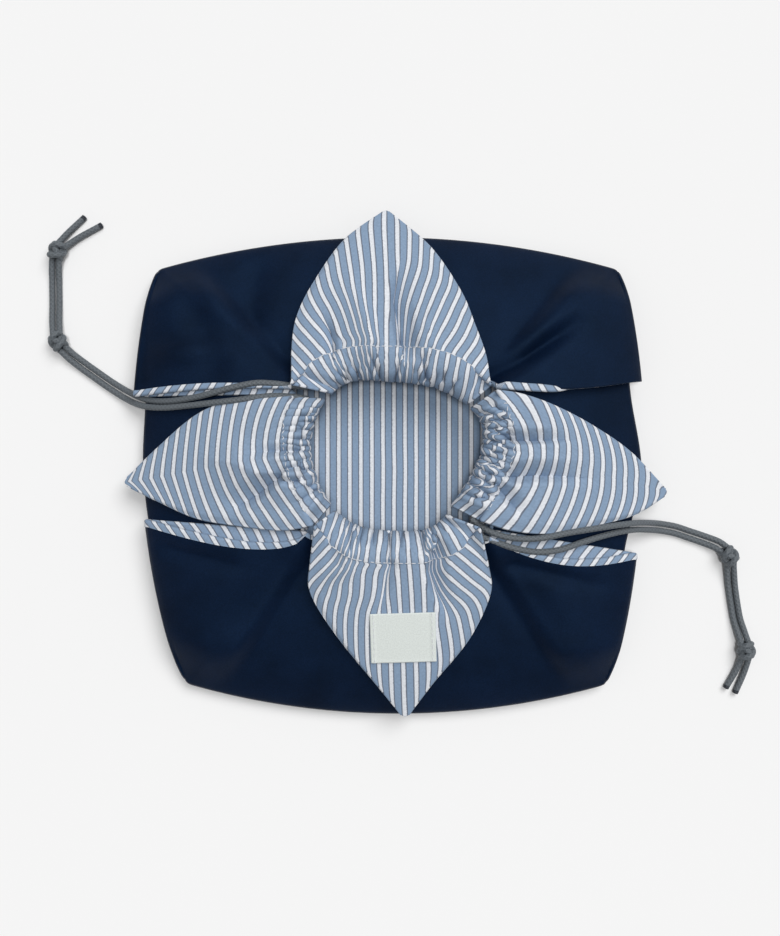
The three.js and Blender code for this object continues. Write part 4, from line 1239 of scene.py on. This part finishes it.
def cord_braid(name, colour):
    material, shader = new_material(name, 0.55, 0.15, (0.8, 0.9, 1, 1), 0.35)
    uv, first, second = cloth_parts(material)
    around = math_node(material, "MULTIPLY", first, 2 * math.pi * BRAID_PLAITS)
    along = math_node(material, "MULTIPLY", second, 2 * math.pi * 2 * math.pi * CORD_RADIUS / BRAID_PITCH)
    one = math_node(material, "COSINE", math_node(material, "ADD", around, along))
    other = math_node(material, "COSINE", math_node(material, "SUBTRACT", around, along))
    plaits = math_node(material, "MAXIMUM", one, other)
    # Painted shade and painted highlight: the colour is darker in the grooves between the plaits and
    # lighter on their crests, following the same relief as the bump
    groove_shade, light = shade(colour, 0.86), shade(colour, 1.1)
    base = colour_ramp(material, plaits, [(0.1, groove_shade), (0.75, (*colour, 1)), (1.0, light)])
    colour_speckled(material, shader, base, noise(material, uv, 60.0), 0.82, 1.1)
    add_bump(material, shader, plaits, 0.0002, 0.5)
    return material


def woven_tape(settings):
    material, shader = new_material("woven_tape", 0.7, sheen=0.1, specular=0.25)
    uv, first, second = cloth_parts(material)
    stops = [(0.3, shade(settings.colour, 0.88)), (0.65, (*settings.colour, 1))]
    base = colour_ramp(material, noise(material, uv, 1500.0), stops)
    material.node_tree.links.new(base, shader.inputs["Base Color"])
    height = weave_height(material, first, second, 0.0005)
    add_bump(material, shader, height, 0.00012, 0.5)
    return material


def thread_material(name, colour):
    material, shader = new_material(name, 0.5, sheen=0.1)
    place = add_node(material, "ShaderNodeTexCoord").outputs["Object"]
    twist = noise(material, place, 2500.0)
    base = colour_ramp(material, twist, [(0.35, shade(colour, 0.8)), (0.65, (*colour, 1))])
    material.node_tree.links.new(base, shader.inputs["Base Color"])
    add_bump(material, shader, twist, 0.0001, 0.4)
    return material


def floor_paint(colour):
    material, shader = new_material("floor_paint", 0.9, specular=0.05)
    place = add_node(material, "ShaderNodeTexCoord").outputs["Object"]
    stops = [(0.3, shade(colour, 0.995)), (0.7, (*colour, 1))]
    base = colour_ramp(material, noise(material, place, 3.0), stops)
    material.node_tree.links.new(base, shader.inputs["Base Color"])
    return material


def stitch_tree():
    """Geometry nodes that lay a row of thread stitches along a line."""
    tree = bpy.data.node_groups.new("Stitches", "GeometryNodeTree")
    face = tree.interface
    face.new_socket("Geometry", in_out="INPUT", socket_type="NodeSocketGeometry")
    for name in ("Repeat", "Stitch Length", "Thread Thickness"):
        face.new_socket(name, in_out="INPUT", socket_type="NodeSocketFloat")
    face.new_socket("Thread", in_out="INPUT", socket_type="NodeSocketMaterial")
    face.new_socket("Seed", in_out="INPUT", socket_type="NodeSocketInt")
    face.new_socket("Geometry", in_out="OUTPUT", socket_type="NodeSocketGeometry")
    nodes, link = tree.nodes, tree.links.new
    given = nodes.new("NodeGroupInput").outputs
    line = nodes.new("GeometryNodeMeshToCurve")
    link(given["Geometry"], line.inputs["Mesh"])
    spots = nodes.new("GeometryNodeCurveToPoints")
    spots.mode = "LENGTH"
    link(line.outputs["Curve"], spots.inputs["Curve"])
    link(given["Repeat"], spots.inputs["Length"])
    thread = nodes.new("GeometryNodeMeshUVSphere")
    thread.inputs["Segments"].default_value = 8
    thread.inputs["Rings"].default_value = 6
    thread.inputs["Radius"].default_value = 0.5
    size = nodes.new("ShaderNodeCombineXYZ")
    link(given["Thread Thickness"], size.inputs["X"])
    link(given["Thread Thickness"], size.inputs["Y"])
    link(given["Stitch Length"], size.inputs["Z"])
    shaped = nodes.new("GeometryNodeTransform")
    link(thread.outputs["Mesh"], shaped.inputs["Geometry"])
    link(size.outputs["Vector"], shaped.inputs["Scale"])
    uneven = nodes.new("FunctionNodeRandomValue")
    uneven.data_type = "FLOAT_VECTOR"
    uneven.inputs[0].default_value = (0.9, 0.9, 0.82)
    uneven.inputs[1].default_value = (1.1, 1.1, 1.08)
    link(given["Seed"], uneven.inputs["Seed"])
    laid = nodes.new("GeometryNodeInstanceOnPoints")
    link(spots.outputs["Points"], laid.inputs["Points"])
    link(shaped.outputs["Geometry"], laid.inputs["Instance"])
    link(spots.outputs["Rotation"], laid.inputs["Rotation"])
    link(uneven.outputs[0], laid.inputs["Scale"])
    real = nodes.new("GeometryNodeRealizeInstances")
    link(laid.outputs["Instances"], real.inputs["Geometry"])
    dyed = nodes.new("GeometryNodeSetMaterial")
    link(real.outputs["Geometry"], dyed.inputs["Geometry"])
    link(given["Thread"], dyed.inputs["Material"])
    link(dyed.outputs["Geometry"], nodes.new("NodeGroupOutput").inputs["Geometry"])
    return tree


def stitch_row(name, lines, tree, settings, thread, seed):
    """A piece of stitches along lines of points, made by the stitch tree and turned into a mesh."""
    points, edges = [], []
    for line in lines:
        edges += [(len(points) + i, len(points) + i + 1) for i in range(len(line) - 1)]
        points += [tuple(p) for p in line]
    mesh = bpy.data.meshes.new(name + "_line")
    mesh.from_pydata(points, edges, [])
    piece = bpy.data.objects.new(name, mesh)
    bpy.context.collection.objects.link(piece)
    modifier = piece.modifiers.new("Stitches", "NODES")
    modifier.node_group = tree
    values = {
        "Repeat": settings.repeat, "Stitch Length": settings.length,
        "Thread Thickness": settings.thickness, "Thread": thread, "Seed": seed,
    }
    for item in tree.interface.items_tree:
        if item.in_out == "INPUT" and item.name in values:
            modifier[item.identifier] = values[item.name]
    piece.update_tag()
    bpy.context.view_layer.update()
    seen = piece.evaluated_get(bpy.context.evaluated_depsgraph_get())
    sewn = bpy.data.meshes.new_from_object(seen)
    piece.modifiers.remove(modifier)
    piece.data = sewn
    bpy.data.meshes.remove(mesh)
    sewn.name = name
    sewn.polygons.foreach_set("use_smooth", np.ones(len(sewn.polygons), dtype=bool))
    if not sewn.polygons:
        raise RuntimeError(name + " has no stitches")
    return piece


def material_named(name, make, *settings):
    found = bpy.data.materials.get(name)
    return found if found else make(*settings)


class PouchClothSettings(bpy.types.PropertyGroup):
    navy: FloatVectorProperty(
        name="Navy", description="Colour of the outer cloth", subtype="COLOR", min=0, max=1,
        default=(0.0026, 0.0080, 0.0245))
    white_colour: FloatVectorProperty(
        name="White stripe", description="Colour of the white stripes", subtype="COLOR", min=0, max=1,
        default=(0.75, 0.775, 0.82))
    line_colour: FloatVectorProperty(
        name="Edge line", description="Colour of the thin lines beside the white stripes",
        subtype="COLOR", min=0, max=1, default=(0.155, 0.185, 0.24))
    ground: FloatVectorProperty(
        name="Ground", description="Colour of the blue ground", subtype="COLOR", min=0, max=1,
        default=(0.245, 0.340, 0.478))
    repeat: FloatProperty(
        name="Stripe repeat", description="Distance from one white stripe to the next",
        default=STRIPE_REPEAT, min=0.001, unit="LENGTH")
    white: FloatProperty(
        name="White share", description="Share of the repeat that is white", default=0.31,
        min=0, max=1, subtype="FACTOR")
    line: FloatProperty(
        name="Line share", description="Share of the repeat taken by each thin line", default=0.10,
        min=0, max=0.3, subtype="FACTOR")
    yarn: FloatProperty(
        name="Yarn", description="Distance between the weave's yarns", default=0.0004,
        min=0.0001, unit="LENGTH")


class PouchCordSettings(bpy.types.PropertyGroup):
    colour: FloatVectorProperty(
        name="Cord", description="Colour of the braided cord", subtype="COLOR", min=0, max=1,
        default=(0.122, 0.139, 0.155))
    end_colour: FloatVectorProperty(
        name="Singed end", description="Colour of the cord's sealed ends", subtype="COLOR", min=0, max=1,
        default=(0.025, 0.03, 0.04))
    knot_size: FloatProperty(
        name="Knot size", description="Size of a knot's loops", default=0.0028, min=0.0005, unit="LENGTH")


class PouchLabelSettings(bpy.types.PropertyGroup):
    colour: FloatVectorProperty(
        name="Tape", description="Colour of the label's tape", subtype="COLOR", min=0, max=1,
        default=(0.77, 0.82, 0.79))
    width: FloatProperty(
        name="Width", description="Width of the label", default=0.031, min=0.005, unit="LENGTH")
    height: FloatProperty(
        name="Height", description="Height of the label", default=0.024, min=0.005, unit="LENGTH")


class PouchStitchSettings(bpy.types.PropertyGroup):
    colour: FloatVectorProperty(
        name="Thread", description="Colour of the sewing thread", subtype="COLOR", min=0, max=1,
        default=(0.80, 0.82, 0.85))
    repeat: FloatProperty(
        name="Stitch repeat", description="Distance from one stitch to the next", default=0.0030,
        min=0.0005, unit="LENGTH")
    length: FloatProperty(
        name="Stitch length", description="Length of a stitch", default=0.0024, min=0.0005, unit="LENGTH")
    thickness: FloatProperty(
        name="Thread thickness", description="Thickness of the thread", default=0.00042,
        min=0.0001, unit="LENGTH")
    seed: IntProperty(name="Seed", description="Seed of the stitches' unevenness", default=4)


class PouchStageSettings(bpy.types.PropertyGroup):
    floor: FloatVectorProperty(
        name="Floor", description="Colour of the floor", subtype="COLOR", min=0, max=1,
        default=(0.90, 0.90, 0.90))
    sky: FloatProperty(
        name="Sky", description="Strength of the light from all round", default=0.20, min=0)
    key: FloatProperty(
        name="Key", description="Strength of the soft key light", default=1.75, min=0)
    top: FloatProperty(
        name="Top", description="Strength of the light from straight above", default=1.15, min=0)
    softness: FloatProperty(
        name="Softness", description="Angle that the key light spans", default=math.radians(40),
        min=0, subtype="ANGLE")
    top_softness: FloatProperty(
        name="Top softness", description="Angle that the light from above spans",
        default=math.radians(12), min=0, subtype="ANGLE")


class POUCH_OT_stage(bpy.types.Operator):
    """Set up the camera, the floor and the light"""

    bl_idname = "pouch.stage"
    bl_label = "Stage"

    def execute(self, context):
        settings = context.scene.pouch_stage
        scene = context.scene
        lens = bpy.data.cameras.new("camera")
        lens.sensor_width = SENSOR
        lens.lens = SENSOR * CAMERA_PLACE[2] / FRAME_LENGTH
        lens.clip_start = 0.01
        lens.dof.use_dof = False
        camera = bpy.data.objects.new("camera", lens)
        camera.location = CAMERA_PLACE
        scene.collection.objects.link(camera)
        scene.camera = camera

        around = ((-1, -1), (1, -1), (1, 1), (-1, 1))
        corners = [(FLOOR_HALF * x, FLOOR_HALF * y, 0) for x, y in around]
        mesh = bpy.data.meshes.new("floor")
        mesh.from_pydata(corners, [], [(0, 1, 2, 3)])
        mesh.materials.append(floor_paint(settings.floor))
        floor = bpy.data.objects.new("floor", mesh)
        scene.collection.objects.link(floor)

        world = bpy.data.worlds.new("sky")
        world.use_nodes = True
        background = world.node_tree.nodes["Background"]
        background.inputs["Color"].default_value = (1, 1, 1, 1)
        background.inputs["Strength"].default_value = settings.sky
        scene.world = world
        for name, energy, angle, heading in (
            ("key", settings.key, settings.softness, KEY_HEADING),
            ("top", settings.top, settings.top_softness, TOP_HEADING),
        ):
            light = bpy.data.lights.new(name, "SUN")
            light.energy = energy
            light.angle = angle
            lamp = bpy.data.objects.new(name, light)
            lamp.rotation_euler = Vector(heading).to_track_quat("-Z", "Y").to_euler()
            scene.collection.objects.link(lamp)
        scene.view_settings.view_transform = "Standard"
        return {"FINISHED"}


class POUCH_OT_cords(bpy.types.Operator):
    """Make the four strands of drawcord and their knots"""

    bl_idname = "pouch.cords"
    bl_label = "Cords and knots"

    def execute(self, context):
        settings = context.scene.pouch_cord
        braid = material_named("cord_braid", cord_braid, "cord_braid", settings.colour)
        singed = material_named("cord_end", cord_braid, "cord_end", settings.end_colour)
        knots = {}
        for name, at, heading in KNOTS:
            path = knot_path(np.array(at), math.radians(heading), settings.knot_size)
            knot = cord_piece(name + "_wraps", path, [braid], closed=True)
            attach(knot, "root")
            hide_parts(name)
            knots.setdefault(name.split("_")[1], []).append(knot)
        for name, route in STRANDS.items():
            path, length = smooth_path(route, CORD_STEP)
            cord = cord_piece(name + "_braid", path, [braid, singed])
            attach(cord, "root")
            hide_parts(name)
        return {"FINISHED"}


class POUCH_OT_body(bpy.types.Operator):
    """Make the navy outer cloth and its striped lining"""

    bl_idname = "pouch.body"
    bl_label = "Outer cloth and lining"

    def execute(self, context):
        settings = context.scene.pouch_cloth
        navy = material_named("navy_cotton", navy_cotton, settings)
        striped = material_named("striped_shirting", striped_shirting, settings)
        points, ears, layers, outs = body_surface()
        normals = surface_normals(points, True)
        normals[:BOTTOM_ROWS] = (0, 0, -1)
        middle = np.array([*BOTTOM_MIDDLE, SEAT])
        down = np.array([0, 0, -1.0])
        uv = points[..., :2]
        outer = round_shell(
            "outer_cloth_sewn", points + normals * SEAT, points + normals * GAP / 2, uv,
            middle + down * SEAT, middle + down * GAP / 2, [navy],
        )
        front, back, lining_uv = lining_surface(points, normals, ears, layers, outs)
        lining = round_shell(
            "lining_sewn", front, back, lining_uv, middle - down * SEAT, middle - down * GAP / 2,
            [striped],
        )
        for piece, node, slot in (
            (outer, "outer_cloth", "navy_cloth"), (lining, "lining", "striped_cloth"),
        ):
            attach(piece, "root")
            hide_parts(node)
        return {"FINISHED"}


class POUCH_OT_petals(bpy.types.Operator):
    """Make the four turned-out petals with their gathered casings"""

    bl_idname = "pouch.petals"
    bl_label = "Petals"

    def execute(self, context):
        settings = context.scene.pouch_cloth
        navy = material_named("navy_cotton", navy_cotton, settings)
        striped = material_named("striped_shirting", striped_shirting, settings)
        for name, petal in PETALS.items():
            points, base, taken = petal_surface(petal)
            normals = upward_normals(points, *PETAL_UP)
            uv = petal_uv(petal, base, taken)
            front, back = points + normals * PETAL_CLOTH / 2, points - normals * PETAL_CLOTH / 2
            piece = thick_sheet(
                "petal_" + name + "_sewn", front, back, uv, PETAL_CLOTH * PETAL_ROLL, [striped, navy])
            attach(piece, "root")
            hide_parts("petal_" + name)
        return {"FINISHED"}


class POUCH_OT_label(bpy.types.Operator):
    """Make the blank label sewn on the south petal"""

    bl_idname = "pouch.label"
    bl_label = "Label"

    def execute(self, context):
        settings = context.scene.pouch_label
        tape = material_named("woven_tape", woven_tape, settings)
        points, uv = label_surface(settings.width, settings.height)
        normals = upward_normals(points, 0, 0)
        front, back = points + normals * LABEL_CLOTH / 2, points - normals * LABEL_CLOTH / 2
        label = thick_sheet("label_tape_sewn", front, back, uv, LABEL_CLOTH * LABEL_ROLL, [tape, tape])
        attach(label, "root")
        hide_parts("label")
        return {"FINISHED"}


class POUCH_OT_stitches(bpy.types.Operator):
    """Sew along each casing and down the label's two short sides"""

    bl_idname = "pouch.stitches"
    bl_label = "Stitches"

    def execute(self, context):
        settings = context.scene.pouch_stitch
        label = context.scene.pouch_label
        thread = material_named("sewing_thread", thread_material, "sewing_thread", settings.colour)
        tree = stitch_tree()
        for order, (name, petal) in enumerate(PETALS.items()):
            points = petal_surface(petal)[0]
            normals = upward_normals(points, *PETAL_UP)
            row = CASING_ROWS - 1
            line = points[row] + normals[row] * (PETAL_CLOTH / 2 + settings.thickness * 0.3)
            lines = [line[PETAL_MARGIN:-PETAL_MARGIN]]
            piece = stitch_row(
                "stitches_" + name, lines, tree, settings, thread, settings.seed + order)
            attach(piece, "root")
        points, _ = label_surface(label.width, label.height)
        normals = upward_normals(points, 0, 0)
        raised = points + normals * (LABEL_CLOTH / 2 + settings.thickness * 0.2)
        inset = int(round(LABEL_HEM * 0.5 / label.width * (LABEL_COLUMNS - 1)))
        sewn = raised[LABEL_MARGIN:-LABEL_MARGIN]
        lines = [sewn[:, inset], sewn[:, LABEL_COLUMNS - 1 - inset]]
        piece = stitch_row("stitches_label", lines, tree, settings, thread, settings.seed + len(PETALS))
        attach(piece, "root")
        return {"FINISHED"}


class POUCH_PT_panel(bpy.types.Panel):
    """The pouch's pieces and their sizes"""

    bl_idname = "POUCH_PT_panel"
    bl_label = "Bojagi Pouch"
    bl_space_type = "VIEW_3D"
    bl_region_type = "UI"
    bl_category = "Pouch"

    def draw(self, context):
        for settings in SETTINGS:
            group = getattr(context.scene, settings)
            box = self.layout.box()
            for key in group.__annotations__:
                box.prop(group, key)
        for operator in OPERATORS:
            self.layout.operator(operator.bl_idname)


SETTINGS = {
    "pouch_cloth": PouchClothSettings,
    "pouch_cord": PouchCordSettings,
    "pouch_label": PouchLabelSettings,
    "pouch_stitch": PouchStitchSettings,
    "pouch_stage": PouchStageSettings,
}
OPERATORS = (
    POUCH_OT_stage, POUCH_OT_cords, POUCH_OT_body, POUCH_OT_petals, POUCH_OT_label, POUCH_OT_stitches,
)


def register():
    for name, settings in SETTINGS.items():
        bpy.utils.register_class(settings)
        setattr(bpy.types.Scene, name, PointerProperty(type=settings))
    for operator in OPERATORS:
        bpy.utils.register_class(operator)
    bpy.utils.register_class(POUCH_PT_panel)


def unregister():
    bpy.utils.unregister_class(POUCH_PT_panel)
    for operator in reversed(OPERATORS):
        bpy.utils.unregister_class(operator)
    for name, settings in SETTINGS.items():
        delattr(bpy.types.Scene, name)
        bpy.utils.unregister_class(settings)


def main():
    register()
    bpy.ops.pouch.stage()
    bpy.ops.pouch.cords()
    bpy.ops.pouch.body()
    bpy.ops.pouch.petals()
    bpy.ops.pouch.label()
    bpy.ops.pouch.stitches()


if __name__ == "__main__":
    main()
